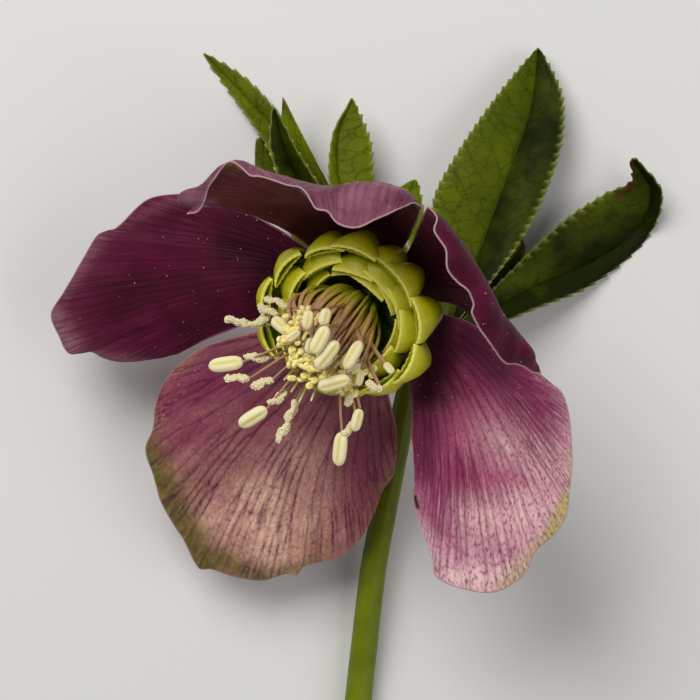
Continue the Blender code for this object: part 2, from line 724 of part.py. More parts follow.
def stamens(material):
    """Stamens and styles, fused at the small dome in the middle."""
    draw = random.Random(STAMEN_SEED)
    bodies = [spreading_stamen(row, draw) for row in ANTHERS]
    for k in range(ARCH_STAMENS):
        bodies.append(arching_stamen((k + 0.5) / ARCH_STAMENS, draw))
    bodies += [style(place) for place in STYLES]
    middle = (DOME_LOW + DOME_HIGH) / 2
    path = [CENTRE + AXIS * a for a in (DOME_LOW, middle, DOME_HIGH)]
    radii = (DOME_RADIUS * CAP, DOME_RADIUS, DOME_RADIUS * DOME_CAP)
    dome = tube(path, radii, radii, ring_direction(0.0), DOME_SIDES)
    return fused("stamens", dome, bodies, material, "MANIFOLD")


def main():
    for thing in list(bpy.data.objects):
        bpy.data.objects.remove(thing, do_unlink=True)
    plum = leaf_tone("sepal_plum", (0.09, 0.012, 0.03), 0.55)
    rose = leaf_tone("sepal_rose", (0.36, 0.12, 0.14), 0.55)
    green = leaf_tone("bract_green", (0.055, 0.09, 0.006), 0.5)
    stalk = leaf_tone("stem_green", (0.13, 0.16, 0.004), 0.45)
    pouch = leaf_tone("nectary_green", (0.27, 0.28, 0.01), 0.4)
    cream = leaf_tone("anther_cream", (0.8, 0.72, 0.42), 0.6)
    stem(stalk)
    for name in BRACTS:
        bract(name, green)
    for name in SEPALS:
        sepal(name, rose if "lower" in name else plum)
    nectaries(pouch)
    stamens(cream)


main()
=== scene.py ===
# Looks of a cut hellebore flower that lies on its back on a pale studio floor.
# Metres, +Z up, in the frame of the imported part. The forms are worked out in mm.
import bmesh
import bpy
import math
import numpy as np
import random
from functools import partial
from bpy.props import FloatProperty, FloatVectorProperty, IntProperty, PointerProperty
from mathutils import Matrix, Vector, noise


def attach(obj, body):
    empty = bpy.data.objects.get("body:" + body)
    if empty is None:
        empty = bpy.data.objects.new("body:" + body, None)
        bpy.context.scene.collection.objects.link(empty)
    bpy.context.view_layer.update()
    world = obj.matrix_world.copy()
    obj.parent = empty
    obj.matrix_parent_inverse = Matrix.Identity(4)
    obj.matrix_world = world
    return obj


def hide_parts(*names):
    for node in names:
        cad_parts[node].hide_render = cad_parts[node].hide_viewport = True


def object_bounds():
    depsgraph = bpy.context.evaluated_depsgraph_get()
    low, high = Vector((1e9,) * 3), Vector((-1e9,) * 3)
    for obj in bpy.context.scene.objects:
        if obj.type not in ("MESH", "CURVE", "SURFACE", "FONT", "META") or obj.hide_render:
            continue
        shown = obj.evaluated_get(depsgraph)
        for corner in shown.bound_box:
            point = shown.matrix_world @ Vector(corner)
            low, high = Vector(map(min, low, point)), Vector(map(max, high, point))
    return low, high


bl_info = {
    "name": "Cut hellebore flower",
    "version": (1, 0, 0),
    "blender": (4, 5, 0),
    "location": "3D View > Sidebar > Hellebore",
    "description": "Builds the sepals, bracts, nectaries, stamens and stem",
    "category": "Add Mesh",
}

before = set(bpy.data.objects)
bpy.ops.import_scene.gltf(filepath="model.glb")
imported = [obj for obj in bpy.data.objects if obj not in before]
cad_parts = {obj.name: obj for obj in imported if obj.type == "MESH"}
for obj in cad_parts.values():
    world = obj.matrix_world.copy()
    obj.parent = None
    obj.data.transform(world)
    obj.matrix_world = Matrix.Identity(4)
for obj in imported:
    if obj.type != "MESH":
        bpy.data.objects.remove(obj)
cad_low, cad_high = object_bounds()

MM = 0.001
# How far apart two seeds read the noise
SEED_STEPS = (7.3, 3.1, 5.7)

# Placement, as in the part: points seen from straight above in steps of STEP mm,
# with a height in mm over the receptacle.
STEP = 0.14
AIM = (350.0, 350.0)
EYE_HEIGHT = 367.5
RECEPTACLE_HEIGHT = 28.0
CENTRE_SHIFT = (-1.49, 12.12)
RECEPTACLE = (372.0, 298.0)
AXIS_TILT = 30.0
AXIS_AZIMUTH = 217.0

SEPAL_BASE_RADIUS = 2.3
SEPAL_BASE_RISE = 0.35
# Veins: how often they fork, half widths in mm at the base and at the margin
VEIN_FORKS = 3
VEIN_HALVES = (0.3, 0.15)
# Crest to crest in mm: stronger and fainter veins, wide waves, fine puckers
VEIN_WAVE = 5.0
SWELL_WAVE = 7.0
PUCKER_WAVE = 2.4
PUCKER_SHARE = 0.4
# Fallen pollen: share of the way out, size in mm and share of it
SPECK_SEED = 77
SPECK_ROWS = (0.3, 0.97)
SPECK_SIZES = (0.08, 0.2)
SPECK_SHARES = (0.6, 1.0)

# Bracts, mm: teeth, midrib, side veins and their spacing, thickness at the edge and
# how much it grows inward
TOOTH_OUT = 0.3
TOOTH_NOTCH = 0.25
TOOTH_AHEAD = 0.5
RIB_HALF = 0.22
SIDE_VEIN_HALF = 0.15
SIDE_VEIN_PITCH = 4.2
LOBE_THIN = 0.24
LOBE_SWELL = 0.3
# Share of the half width where teeth begin, and how far a lobe arches up
TOOTH_FROM = 0.86
LOBE_ARCH = 0.05

# Nectaries, mm. Rows: count, first azimuth, step, reach, rise, half width
NECTARY_ROWS = (
    (13, 0.0, 360.0 / 13, 12.3, 7.2, 2.85),
    (11, 16.4, 360.0 / 11, 9.9, 6.6, 2.75),
    (5, -22.0, 40.0, 7.9, 5.9, 2.3),
)
NECTARY_SEED = 11
# The rows stand in an oval, longer by NECTARY_OVAL towards -OVAL_TURN / 2 degrees
NECTARY_OVAL = 0.8
OVAL_TURN = 20.0
# Loose placing: degrees round the axis, mm of reach and rise, share of the width,
# mm of lean
NECTARY_SWING = 5.0
NECTARY_LOOSE = 0.5
NECTARY_WIDTHS = (0.92, 1.08)
NECTARY_LEAN = 0.7
COLLAR_RADIUS = 2.5
COLLAR_LOW = 1.15
COLLAR_HIGH = 2.1

# Stamens, mm
STAMEN_SEED = 5
DOME_HIGH = 3.5
DOME_MIDDLE = 2.9
ANTHER_DIP = 0.12
SPREAD = (0.7, 1.25)
SPREAD_RISE = 0.55
SPREAD_OUT = 0.6
ARCH_STAMENS = 9
ARCH_FIRST = -50.0
ARCH_LAST = 175.0
ARCH_ROOT = 1.1
ARCH_BULGE = 6.6
ARCH_RISE = 11.5
ARCH_ANTHER = (2.2, 0.75)
ARCH_SWING = 4.0
ARCH_SHARES = (0.9, 1.0)
ARCH_TURNS = (30.0, 80.0)
ARCH_LOOSE = 1.0
STYLE_BEND = 0.5
LINE_POINTS = 22
# Fine arching filaments: first azimuth, sweep, swing, root radii, shares of the bulge
# and the rise of the arch, loose ends. Towards the last azimuths they bulge further.
FINE_FIRST = -62.0
FINE_SWEEP = 250.0
FINE_SWING = 5.0
FINE_ROOTS = (0.6, 1.6)
FINE_BULGES = (0.62, 1.3)
FINE_RISES = (0.9, 1.0)
FINE_LOOSE = 1.6
FINE_EXTRA = 0.75
FINE_EXTRA_FROM = (95.0, 180.0)
# Young anthers: turn from straight left in radians, how far they point up, length
# and half width
YOUNG_TURNS = (-0.3, 1.9)
YOUNG_LIFTS = (-0.2, 1.2)
YOUNG_LENGTHS = (0.95, 1.5)
YOUNG_WIDTHS = (0.42, 0.56)
# Grooved anthers: width and depth of the groove, thickness for a width of 1
GROOVE = 0.26
ANTHER_THICK = 0.78
# Anthers at least this wide are plump, and of the others the long ones have opened.
# They are drawn as these shares of the solids' widths and length.
PLUMP_WIDTH = 0.9
PLUMP_SLIM = 0.84
PLUMP_SHORT = 0.94
ARCH_SLIM = 0.8
# Opened anthers: share of the plump width and thickness, mesh sides and rings
SPENT_WIDTH = 0.68
SPENT_THICK = 0.46
SPENT_SIDES = 20
SPENT_RINGS = 26
# Pollen grains, mm
GRAIN_SIZES = (0.14, 0.3)

STEM_SIDES = 48
STEM_RINGS = 260
COLLAR_SIDES = 40
COLLAR_RINGS = 7


def linear(code):
    """An sRGB hex colour as linear numbers."""
    parts = [int(code[k:k + 2], 16) / 255.0 for k in (0, 2, 4)]
    bent = [c / 12.92 if c <= 0.04045 else ((c + 0.055) / 1.055) ** 2.4 for c in parts]
    return (*bent, 1.0)


def spot(across, down, rise):
    """A point seen at (across, down) that lies rise mm over the receptacle."""
    step = STEP * (1.0 - rise / EYE_HEIGHT)
    x = (across - AIM[0]) * step + CENTRE_SHIFT[0]
    y = (AIM[1] - down) * step + CENTRE_SHIFT[1]
    return np.array((x, y, RECEPTACLE_HEIGHT + rise))


def low_spot(across, down, height):
    """The same, with the height measured from the surface it lies on."""
    return spot(across, down, height - RECEPTACLE_HEIGHT)


def unit(vector):
    return vector / np.linalg.norm(vector)


def units(vectors):
    sizes = np.linalg.norm(vectors, axis=-1, keepdims=True)
    return vectors / np.maximum(sizes, 1e-9)


def flower_axis():
    tilt = math.radians(AXIS_TILT)
    turn = math.radians(AXIS_AZIMUTH)
    flat = math.sin(tilt)
    return np.array((flat * math.cos(turn), flat * math.sin(turn), math.cos(tilt)))


AXIS = flower_axis()
CENTRE = spot(RECEPTACLE[0], RECEPTACLE[1], 0.0)


def ring_direction(azimuth):
    """Outward direction square to the flower axis, seen at this azimuth."""
    turn = math.radians(azimuth)
    flat = np.array((math.cos(turn), math.sin(turn), 0.0))
    flat[2] = -(flat @ AXIS) / AXIS[2]
    return unit(flat)


def in_flower(azimuth, radius, rise):
    return CENTRE + ring_direction(azimuth) * radius + AXIS * rise


def chord_knots(points):
    steps = np.linalg.norm(np.diff(points, axis=0), axis=1)
    knots = np.concatenate(((0.0,), np.cumsum(steps)))
    return knots / knots[-1]


def smooth_at(points, knots, places):
    """Cubic curve through the points, read at each of the places."""
    places = np.atleast_1d(places)
    last = len(points) - 1
    i = np.clip(np.searchsorted(knots, places) - 1, 0, last - 1)
    low = np.maximum(i - 1, 0)
    high = np.minimum(i + 2, last)
    span = (knots[i + 1] - knots[i])[:, None]
    start = (points[i + 1] - points[low]) / (knots[i + 1] - knots[low])[:, None]
    end = (points[high] - points[i]) / (knots[high] - knots[i])[:, None]
    s = (places - knots[i])[:, None] / span
    keep = (1 + 2 * s) * (1 - s) ** 2
    gain = s * s * (3 - 2 * s)
    lead = s * (1 - s) ** 2 * span
    trail = s * s * (s - 1) * span
    return points[i] * keep + points[i + 1] * gain + start * lead + end * trail


def eased(values, low, high):
    """0 below low, 1 above high, and a soft step between."""
    t = np.clip((values - low) / (high - low), 0.0, 1.0)
    return t * t * (3 - 2 * t)


def grid_normals(grid):
    down = np.gradient(grid, axis=0)
    over = np.gradient(grid, axis=1)
    return units(np.cross(over, down))


def noise_grid(grid, wave, seed):
    """Smooth noise at each point of a grid, about wave mm from crest to crest."""
    shift = Vector([seed * step for step in SEED_STEPS])
    flat = [noise.noise(Vector(p) / wave + shift) for p in grid.reshape(-1, 3)]
    return np.array(flat).reshape(grid.shape[:2])


# Building blocks for meshes

def blade_body(grid, thick):
    """Closed blade about a grid of points, with a rounded rim; gives the rim too."""
    rows, columns = grid.shape[:2]
    half = grid_normals(grid) * (np.broadcast_to(thick, (rows, columns)) / 2)[..., None]
    count = rows * columns
    index = np.arange(count).reshape(rows, columns)
    quads = np.stack((index[:-1, :-1], index[:-1, 1:], index[1:, 1:], index[1:, :-1]), axis=-1)
    quads = quads.reshape(-1, 4)
    # The rim runs round the grid and stands out by half the thickness
    rim = np.concatenate((index[0], index[1:, -1], index[-1, -2::-1], index[-2:0:-1, 0]))
    inner = grid.copy()
    inner[0], inner[-1] = grid[1], grid[-2]
    inner[:, 0], inner[:, -1] = inner[:, 1], inner[:, -2]
    away = units(grid - inner) * np.linalg.norm(half, axis=2)[..., None]
    fringe = (grid + away).reshape(-1, 3)[rim]
    edge = 2 * count + np.arange(len(rim))
    end, beyond = np.roll(rim, -1), np.roll(edge, -1)
    walls = np.stack((end, rim, edge, beyond, beyond, edge, rim + count, end + count), axis=1)
    faces = np.concatenate((quads, quads[:, ::-1] + count, walls.reshape(-1, 4)))
    points = np.concatenate(((grid + half).reshape(-1, 3), (grid - half).reshape(-1, 3),
                             fringe))
    points[:, 2] = np.maximum(points[:, 2], 0.0)
    return points, faces.tolist(), rim


def over_blade(values, rim):
    """A value for each point of a blade, from its values on the grid."""
    flat = values.reshape(-1)
    return np.concatenate((flat, flat, flat[rim]))


def loft(rings):
    """Closed skin through rings of as many points each."""
    rings = np.array(rings)
    index = np.arange(rings.shape[0] * rings.shape[1]).reshape(rings.shape[:2])
    beside = np.roll(index, -1, axis=1)
    quads = np.stack((index[:-1], beside[:-1], beside[1:], index[1:]), axis=-1)
    ends = [index[0, ::-1].tolist(), index[-1].tolist()]
    return rings.reshape(-1, 3), quads.reshape(-1, 4).tolist() + ends


def tube_rings(path, widths, depths, side, sides):
    """Oval rings along a path; side is where each ring's width points."""
    path = np.array(path)
    along = units(np.gradient(path, axis=0))
    flat = np.broadcast_to(side, path.shape).astype(float)
    flat = units(flat - along * np.sum(flat * along, axis=1, keepdims=True))
    deep = np.cross(along, flat)
    turn = np.linspace(0.0, 2 * math.pi, sides, endpoint=False)
    wide = np.cos(turn)[None, :, None] * (flat * np.array(widths)[:, None])[:, None, :]
    tall = np.sin(turn)[None, :, None] * (deep * np.array(depths)[:, None])[:, None, :]
    return path[:, None, :] + wide + tall


def joined(bodies):
    """One list of points and faces from several."""
    points, faces, start = [], [], 0
    for body in bodies:
        points.append(body[0])
        faces += [[k + start for k in face] for face in body[1]]
        start += len(body[0])
    return np.concatenate(points), faces


def in_scene(name, data):
    """Object with this data, in the scene."""
    thing = bpy.data.objects.new(name, data)
    bpy.context.scene.collection.objects.link(thing)
    return thing


def marked_mesh(name, points, edges, faces, values):
    """Mesh in metres from points in mm; values are kept as attributes of the points."""
    mesh = bpy.data.meshes.new(name)
    mesh.from_pydata((np.array(points) * MM).tolist(), edges, faces)
    for label, numbers in values.items():
        numbers = np.asarray(numbers, np.float32)
        kind, key = ("FLOAT_VECTOR", "vector") if numbers.ndim > 1 else ("FLOAT", "value")
        mesh.attributes.new(label, kind, "POINT").data.foreach_set(key, numbers.ravel())
    return mesh


def new_piece(name, points, faces, material, values=None, place=None):
    """Object of closed bodies; place lays a blade's points out in its own plane."""
    mesh = marked_mesh(name, points, [], faces, values or {})
    if place is not None:
        corner = np.zeros(len(mesh.loops), np.int32)
        mesh.loops.foreach_get("vertex_index", corner)
        layer = mesh.uv_layers.new(name="blade")
        layer.data.foreach_set("uv", place[corner].astype(np.float32).ravel())
    work = bmesh.new()
    work.from_mesh(mesh)
    bmesh.ops.recalc_face_normals(work, faces=work.faces)
    for face in work.faces:
        face.smooth = True
    work.to_mesh(mesh)
    work.free()
    if material is not None:
        mesh.materials.append(material)
    return in_scene(name, mesh)


def belongs(piece, slot, *nodes):
    """The piece rides on the flower and stands for these CAD nodes."""
    # Tooth tips stay inside the CAD box
    places = np.zeros(len(piece.data.vertices) * 3, np.float32)
    piece.data.vertices.foreach_get("co", places)
    places = np.clip(places.reshape(-1, 3), cad_low, cad_high)
    piece.data.vertices.foreach_set("co", places.ravel())
    piece.data.update()
    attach(piece, "root")
    if nodes:
        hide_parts(*nodes)


def node(tree, kind, sockets=None, out=0, **settings):
    """Add a node with its settings; sockets are values or links. Gives an output."""
    made = tree.nodes.new(kind)
    for key, value in settings.items():
        setattr(made, key, value)
    for key, value in (sockets or {}).items():
        if isinstance(value, bpy.types.NodeSocket):
            tree.links.new(value, made.inputs[key])
        else:
            made.inputs[key].default_value = value
    return made.outputs[out] if made.outputs else made


def new_skin(name):
    """Material, what adds its nodes, and the place in metres that patterns scale from."""
    material = bpy.data.materials.new(name)
    material.use_nodes = True
    add = partial(node, material.node_tree)
    return material, add, add("ShaderNodeTexCoord", out="Object")


def finish_skin(material, colour, relief, strength, deep=0.0001, **looks):
    """Gives a material its colour, gloss and fine relief."""
    tree = material.node_tree
    shader = tree.nodes["Principled BSDF"]
    bump = node(tree, "ShaderNodeBump",
                {"Strength": strength, "Distance": deep, "Height": relief})
    tree.links.new(bump, shader.inputs["Normal"])
    tree.links.new(colour, shader.inputs["Base Color"])
    for label, value in looks.items():
        shader.inputs[label.replace("_", " ")].default_value = value
    return material


def growth_tree(name, **inputs):
    """Empty geometry tree; gives it, what adds its nodes, and its named inputs."""
    tree = bpy.data.node_groups.new(name, "GeometryNodeTree")
    face = tree.interface
    for label, kind in {"Geometry": "Geometry", "Material": "Material", **inputs}.items():
        face.new_socket(label, in_out="INPUT", socket_type="NodeSocket" + kind)
    face.new_socket("Geometry", in_out="OUTPUT", socket_type="NodeSocketGeometry")
    return tree, partial(node, tree), tree.nodes.new("NodeGroupInput").outputs


def end_growth(add, shape, given):
    """Instances made real and painted, at the tree's output."""
    real = add("GeometryNodeRealizeInstances", {0: shape})
    smooth = add("GeometryNodeSetShadeSmooth", {0: real})
    painted = add("GeometryNodeSetMaterial",
                  {"Geometry": smooth, "Material": given["Material"]})
    add("NodeGroupOutput", {0: painted})


def grown(name, source, tree, values):
    """Plain mesh piece that the tree makes on the source, which is then removed."""
    change = source.modifiers.new("growth", "NODES")
    change.node_group = tree
    for item in tree.interface.items_tree:
        if item.in_out == "INPUT" and item.name in values:
            change[item.identifier] = values[item.name]
    bpy.context.view_layer.update()
    ready = source.evaluated_get(bpy.context.evaluated_depsgraph_get())
    mesh = bpy.data.meshes.new_from_object(ready)
    source.modifiers.remove(change)
    mesh.name = name
    bpy.data.objects.remove(source, do_unlink=True)
    return in_scene(name, mesh)


# Sepals: azimuths of the two ends at the receptacle, how far out each row lies, and
# the rows from one side edge to the other, as (across, down, rise).
SEPALS = {
    "sepal_left": ((196.0, 160.0), (0.0, 0.28, 0.6, 1.0), (
        ((292, 308, -2.6), (289, 285, -3), (297, 262, -2.2), (305, 247, -1)),
        ((222, 333, -7), (214, 300, -5), (224, 262, -4), (240, 232, -3), (252, 214, -2)),
        ((178, 353, -11), (155, 358, -12), (136, 361, -13), (116, 361, -13.5), (103, 358, -14),
         (92, 352, -14.5), (80, 353, -15), (69, 353, -15.5), (61, 341, -16),
         (51.5, 314.5, -16), (64, 292, -14.5), (80, 265, -13), (97, 236, -11),
         (106, 231, -10.5), (116, 228, -10), (147, 200, -8), (180, 194, -6), (205, 196, -5)))),
    "sepal_lower_left": ((266.0, 206.0), (0.0, 0.28, 0.6, 1.0), (
        ((386, 385, -4), (355, 390, -6), (325, 377, -7), (305, 352, -6), (298, 322, -4)),
        ((396, 432, -9), (355, 465, -12), (300, 475, -14), (240, 450, -14), (212, 390, -11),
         (222, 341, -8)),
        ((396, 449, -11), (394, 473, -12.5), (383, 490, -14), (374, 512, -15), (361, 538, -16),
         (343, 555, -17), (326, 560, -18), (304, 566, -18.5), (297, 575, -19), (287, 574, -19),
         (271, 579, -19), (256, 580, -19), (234, 576, -19), (211, 569, -19), (199, 568, -19),
         (184, 540, -18), (171, 520, -18), (160, 498, -17), (154, 475, -17), (147, 457, -16),
         (146, 446, -16), (153, 429, -15), (155, 409, -14), (161, 390, -13), (174, 370, -12),
         (195, 352, -10)))),
    "sepal_lower_right": ((338.0, 276.0), (0.0, 0.28, 0.6, 1.0), (
        ((462, 320, 2.1), (458, 345, 1.8), (440, 368, 1), (408, 378, 0)),
        ((512, 352, 3), (515, 400, 3.5), (485, 440, 3), (440, 455, 1.5), (412, 443, -1)),
        ((541, 376, 4), (560, 390, 4), (568, 411, 4), (571, 435, 4), (572, 464, 4),
         (570, 484, 4), (566, 515, 4), (553, 535, 4), (535, 551, 3.5), (527, 570, 3),
         (517, 580, 3), (500, 590, 2.5), (482, 592, 2), (462, 588, 2), (447, 583, 2),
         (435, 575, 1.5), (433, 562, 1.5), (428, 546, 1.5), (421, 525, 1.5), (417, 510, 1),
         (414, 490, 0)))),
    "sepal_right": ((50.0, 350.0), (0.0, 0.24, 0.5, 0.76, 1.0), (
        ((407, 254, 7.3), (434, 262, 8.1), (453, 284, 7.6), (450, 303, 4.8)),
        ((420, 224, 15), (443, 232, 16), (466, 262, 15.5), (486, 300, 14), (495, 320, 11),
         (488, 330, 7)),
        ((425, 212, 23), (439, 217, 25), (453, 235, 26), (477, 270, 25), (493, 300, 24),
         (511, 330, 20), (531, 351, 16), (531, 359, 12)),
        ((428, 207, 28), (436, 217, 29), (434, 230, 30), (440, 240, 30), (446, 250, 30),
         (448, 268, 30), (458, 280, 29.5), (470, 290, 29), (474, 305, 28), (472, 313, 28),
         (480, 330, 26.5), (490, 345, 25), (505, 363, 22), (515, 364, 20), (525, 367, 18),
         (532, 372, 16), (541, 373, 14)))),
    "sepal_top": ((140.0, 64.0), (0.0, 0.24, 0.5, 0.77, 1.0), (
        ((306, 243, 2.4), (322, 228, 4.0), (350, 218, 5.8), (380, 222, 6.6), (402, 249, 7.2)),
        ((262, 219, 7.5), (263, 200, 11), (285, 192, 15), (315, 194, 17), (350, 192, 17.5),
         (385, 193, 17.5), (407, 203, 17), (414, 226, 15)),
        ((205, 204, 12), (181, 204, 13.5), (183, 193, 15), (203, 190, 17), (214, 182, 18.5),
         (224, 171, 20), (240, 163, 23), (262, 170, 25), (290, 181, 27), (313, 192, 28),
         (350, 190, 29), (385, 190, 29), (405, 193, 27), (416, 202, 24), (419, 213, 21)),
        ((187, 213, 17), (196, 211, 18), (203, 204, 19), (208, 190, 20.5), (215, 180, 22),
         (222, 169, 23), (231, 162, 25), (243, 168, 27), (251, 175, 28), (260, 176, 28),
         (272, 180, 29), (290, 186, 30), (300, 189, 31), (306, 195, 31.5), (310, 202, 32),
         (315, 210, 32), (327, 213, 32), (335, 222, 32), (343, 226.5, 32), (353, 228, 32),
         (363, 226, 32), (376, 219, 32), (389, 213, 31.5), (401, 208, 30.5), (413, 204, 28),
         (421, 206, 25.5)))),
}

# Bracts: root, then lobes, each as left edge, midrib and right edge from root to tip
# and its teeth. Heights are over the surface it lies on.
BRACTS = {
    "bract_left": ((407, 337, 9.2), (
        (((402, 338, 9.0), (322, 244, 5.5), (262, 138, 1.9), (232, 95, 0.5), (205, 57, 0.1)),
         ((408, 332, 9.0), (334, 236, 4.6), (285, 142, 1.5), (246, 98, 0.1), (204, 54, 0.0)),
         ((413, 327, 9.0), (346, 228, 5.5), (288, 128, 2.2), (249, 82, 0.4), (206, 54, 0.1)),
         11),
        (((401, 335, 9.6), (322, 250, 12), (280, 180, 13.5), (270, 145, 13.5),
          (272, 110, 13.5)),
         ((407, 329, 9.6), (334, 240, 10), (300, 180, 10), (286, 150, 11), (274, 108, 13)),
         ((411, 325, 9.6), (343, 232, 11.5), (322, 190, 12), (297, 150, 13), (276, 110, 13.5)),
         7),
        (((406, 331, 9.3), (350, 244, 7.4), (322, 197, 6.2), (300, 168, 6), (276, 140, 6.5)),
         ((411, 325, 9.3), (356, 238, 7.0), (326, 192, 5.9), (304, 160, 5.8), (281, 130, 6.5)),
         ((415, 321, 9.3), (362, 234, 7.4), (330, 187, 6.1), (310, 150, 6.2), (283, 97, 7)),
         8),
        (((402, 341, 8.8), (312, 262, 3.2), (257, 176, 0.5), (256, 140, 0.34)),
         ((406, 338, 8.8), (320, 256, 3.0), (266, 174, 0.5), (264, 136, 0.34)),
         ((409, 334, 8.8), (328, 250, 3.4), (276, 170, 0.7), (272, 138, 0.4)), 3))),
    "bract_upper": ((429, 313, 9.3), (
        (((422, 312, 9.2), (392, 262, 9), (359, 224, 8.6), (332, 192, 8.4), (333, 135, 7),
          (350, 102, 6)),
         ((427, 308, 9.2), (400, 256, 7.6), (366, 218, 7), (341, 188, 6.8), (337, 134, 5.5),
          (352, 99, 5.5)),
         ((431, 306, 9.2), (408, 250, 9), (384, 214, 7.8), (374, 182, 7.4), (370, 143, 6.5),
          (354, 102, 6)), 9),
        (((427, 308, 9.4), (414, 258, 8.8), (401, 215, 8.5), (396, 192, 8.3), (411, 181, 8.3)),
         ((431, 307, 9.4), (422, 255, 8.3), (412, 212, 8), (410, 194, 8), (414, 180, 8.3)),
         ((435, 307, 9.4), (429, 250, 8.8), (423, 212, 8.5), (420, 194, 8.3), (417, 181, 8.3)),
         4))),
    "bract_right": ((451, 331, 9.3), (
        (((446, 322, 9.2), (440, 255, 7.5), (433, 205, 7), (455, 158, 6.5), (497, 97, 5),
          (534, 52, 3)),
         ((451, 322, 9.2), (475, 264, 6), (510, 168, 5), (532, 104, 3.5), (538, 48, 2.5)),
         ((455, 325, 9.2), (521, 240, 8.5), (557, 158, 7), (562, 100, 5), (542, 52, 3)), 14),
        (((452, 324, 9.0), (466, 300, 7), (484, 277, 6), (505, 252, 5), (521, 240, 5)),
         ((455, 327, 9.0), (472, 302, 6.5), (493, 280, 5), (512, 260, 4.5), (524, 242, 5)),
         ((458, 331, 9.0), (480, 306, 7), (501, 286, 6), (517, 268, 5), (526, 246, 5)), 3),
        (((454, 328, 9.2), (503, 279, 7), (560, 224, 5), (606, 194, 3), (632, 181, 4.5),
          (630, 162, 6.5)),
         ((457, 334, 9.2), (527, 290, 5), (595, 260, 1.0), (636, 230, 0.0), (652, 194, 2.3),
          (632, 159, 7)),
         ((458, 341, 9.2), (532, 310, 6.5), (592, 284, 1.6), (645, 240, 0.1), (662, 194, 4.6),
          (636, 158, 7.5)), 9))),
}

# Stem path: (across, down, height over the surface, radius)
STEM_PATH = (
    (345, 812, 1.93, 2.0), (351, 760, 1.95, 2.0), (358, 700, 2.2, 2.0),
    (363, 655, 2.8, 1.98), (373, 570, 4.6, 1.92), (383, 515, 6.2, 1.88),
    (392, 470, 7.6, 1.82), (400, 430, 8.9, 1.78), (406, 400, 9.9, 1.74),
    (414, 370, 11.0, 1.74), (424, 344, 11.9, 1.75), (433, 324, 12.3, 1.62),
    (439, 306, 12.9, 1.52), (439, 291, 14.0, 1.46), (432, 279, 15.6, 1.45),
    (419, 273, 17.8, 1.45), (404, 274, 20.2, 1.45),
)

STEM_HEAD = ((-5.4, 1.5), (-3.8, 1.65), (-2.4, 2.0), (-1.3, 2.45), (-0.75, 2.55),
             (-0.4, 2.55))

# Anthers: (across, down, rise, turn from straight left, length, width), the
# far ones first. The small packed ones are placed by rule.
ANTHERS = (
    (226, 364, 4.0, 8, 5.2, 1.25), (257, 357, 5.0, -8, 3.6, 0.8),
    (237, 378, 4.5, 0, 3.6, 0.8), (262, 383, 5.5, 22, 3.4, 0.85),
    (277, 397, 6.0, 38, 3.2, 0.85), (253, 417, 5.0, 32, 4.8, 1.25),
    (291, 411, 6.5, 62, 3.4, 0.85), (283, 432, 6.0, 55, 3.4, 0.85),
    (340, 449, 7.3, 84, 5.0, 1.2), (352, 398, 9.0, 60, 2.8, 0.8),
    (357, 420, 8.6, 76, 3.4, 0.95), (350, 431, 7.8, 50, 3.2, 0.85),
    (374, 386, 11.5, -30, 2.6, 0.85), (389, 368, 12.5, -50, 1.8, 0.7),
    (334, 383, 12.0, 16, 4.8, 1.2), (327, 355, 14.5, 52, 5.0, 1.2),
    (320, 340, 15.5, 62, 4.4, 1.15), (353, 355, 13.5, 60, 4.6, 1.1),
    (282, 326, 9.5, -38, 3.6, 1.1), (308, 320, 14.0, 80, 2.8, 0.9),
    (325, 317, 15.0, 75, 2.6, 0.95), (276, 303, 9.0, -20, 3.6, 0.7),
    (268, 310, 8.0, -22, 3.2, 0.8), (259, 321, 7.0, 25, 3.2, 0.8),
    (237, 323, 5.5, -14, 3.6, 0.8),
)
# Heads of the arching stamens lie between these two places: (across, down, rise)
ARCH_HEADS = ((358.0, 376.0, 11.5), (292.0, 334.0, 11.0))
STYLES = ((291, 392, 8.5), (299, 402, 9.0), (311, 401, 9.5), (284, 380, 8.0))


# Sepals

def seen(grid):
    """Where each point is seen from straight above, as in spot()."""
    step = STEP * (1.0 - (grid[..., 2] - RECEPTACLE_HEIGHT) / EYE_HEIGHT)
    across = (grid[..., 0] - CENTRE_SHIFT[0]) / step + AIM[0]
    down = AIM[1] - (grid[..., 1] - CENTRE_SHIFT[1]) / step
    return np.stack((across, down), axis=-1)


def stain(grid, strokes):
    """Soft patch on a blade along short strokes: two ends, half width, strength."""
    places = seen(grid)
    field = np.zeros(grid.shape[:2])
    for x, y, far_x, far_y, wide, strength in strokes:
        start = np.array((x, y))
        line = np.array((far_x - x, far_y - y)) + 1e-6
        share = np.clip(((places - start) @ line) / (line @ line), 0.0, 1.0)
        gap = np.linalg.norm(places - start - share[..., None] * line, axis=-1)
        field = np.maximum(field, strength * np.exp(-(gap / wide) ** 2))
    return field


def sepal_rows(base, rows):
    """Rows of points from the receptacle to the margin."""
    start, end = base
    if end - start > 180.0:
        end -= 360.0
    if start - end > 180.0:
        start -= 360.0
    ring = [in_flower(start + (end - start) * k / 4.0, SEPAL_BASE_RADIUS, SEPAL_BASE_RISE)
            for k in range(5)]
    return [np.array(ring)] + [np.array([spot(*p) for p in row]) for row in rows]


def blade_skin(rows, places, across, along):
    """Blade surface through rows of points that lie at the given places."""
    spread = np.array([smooth_at(row, chord_knots(row), across) for row in rows])
    flat = smooth_at(spread.reshape(len(rows), -1), np.array(places), along)
    return flat.reshape(len(along), len(across), 3)


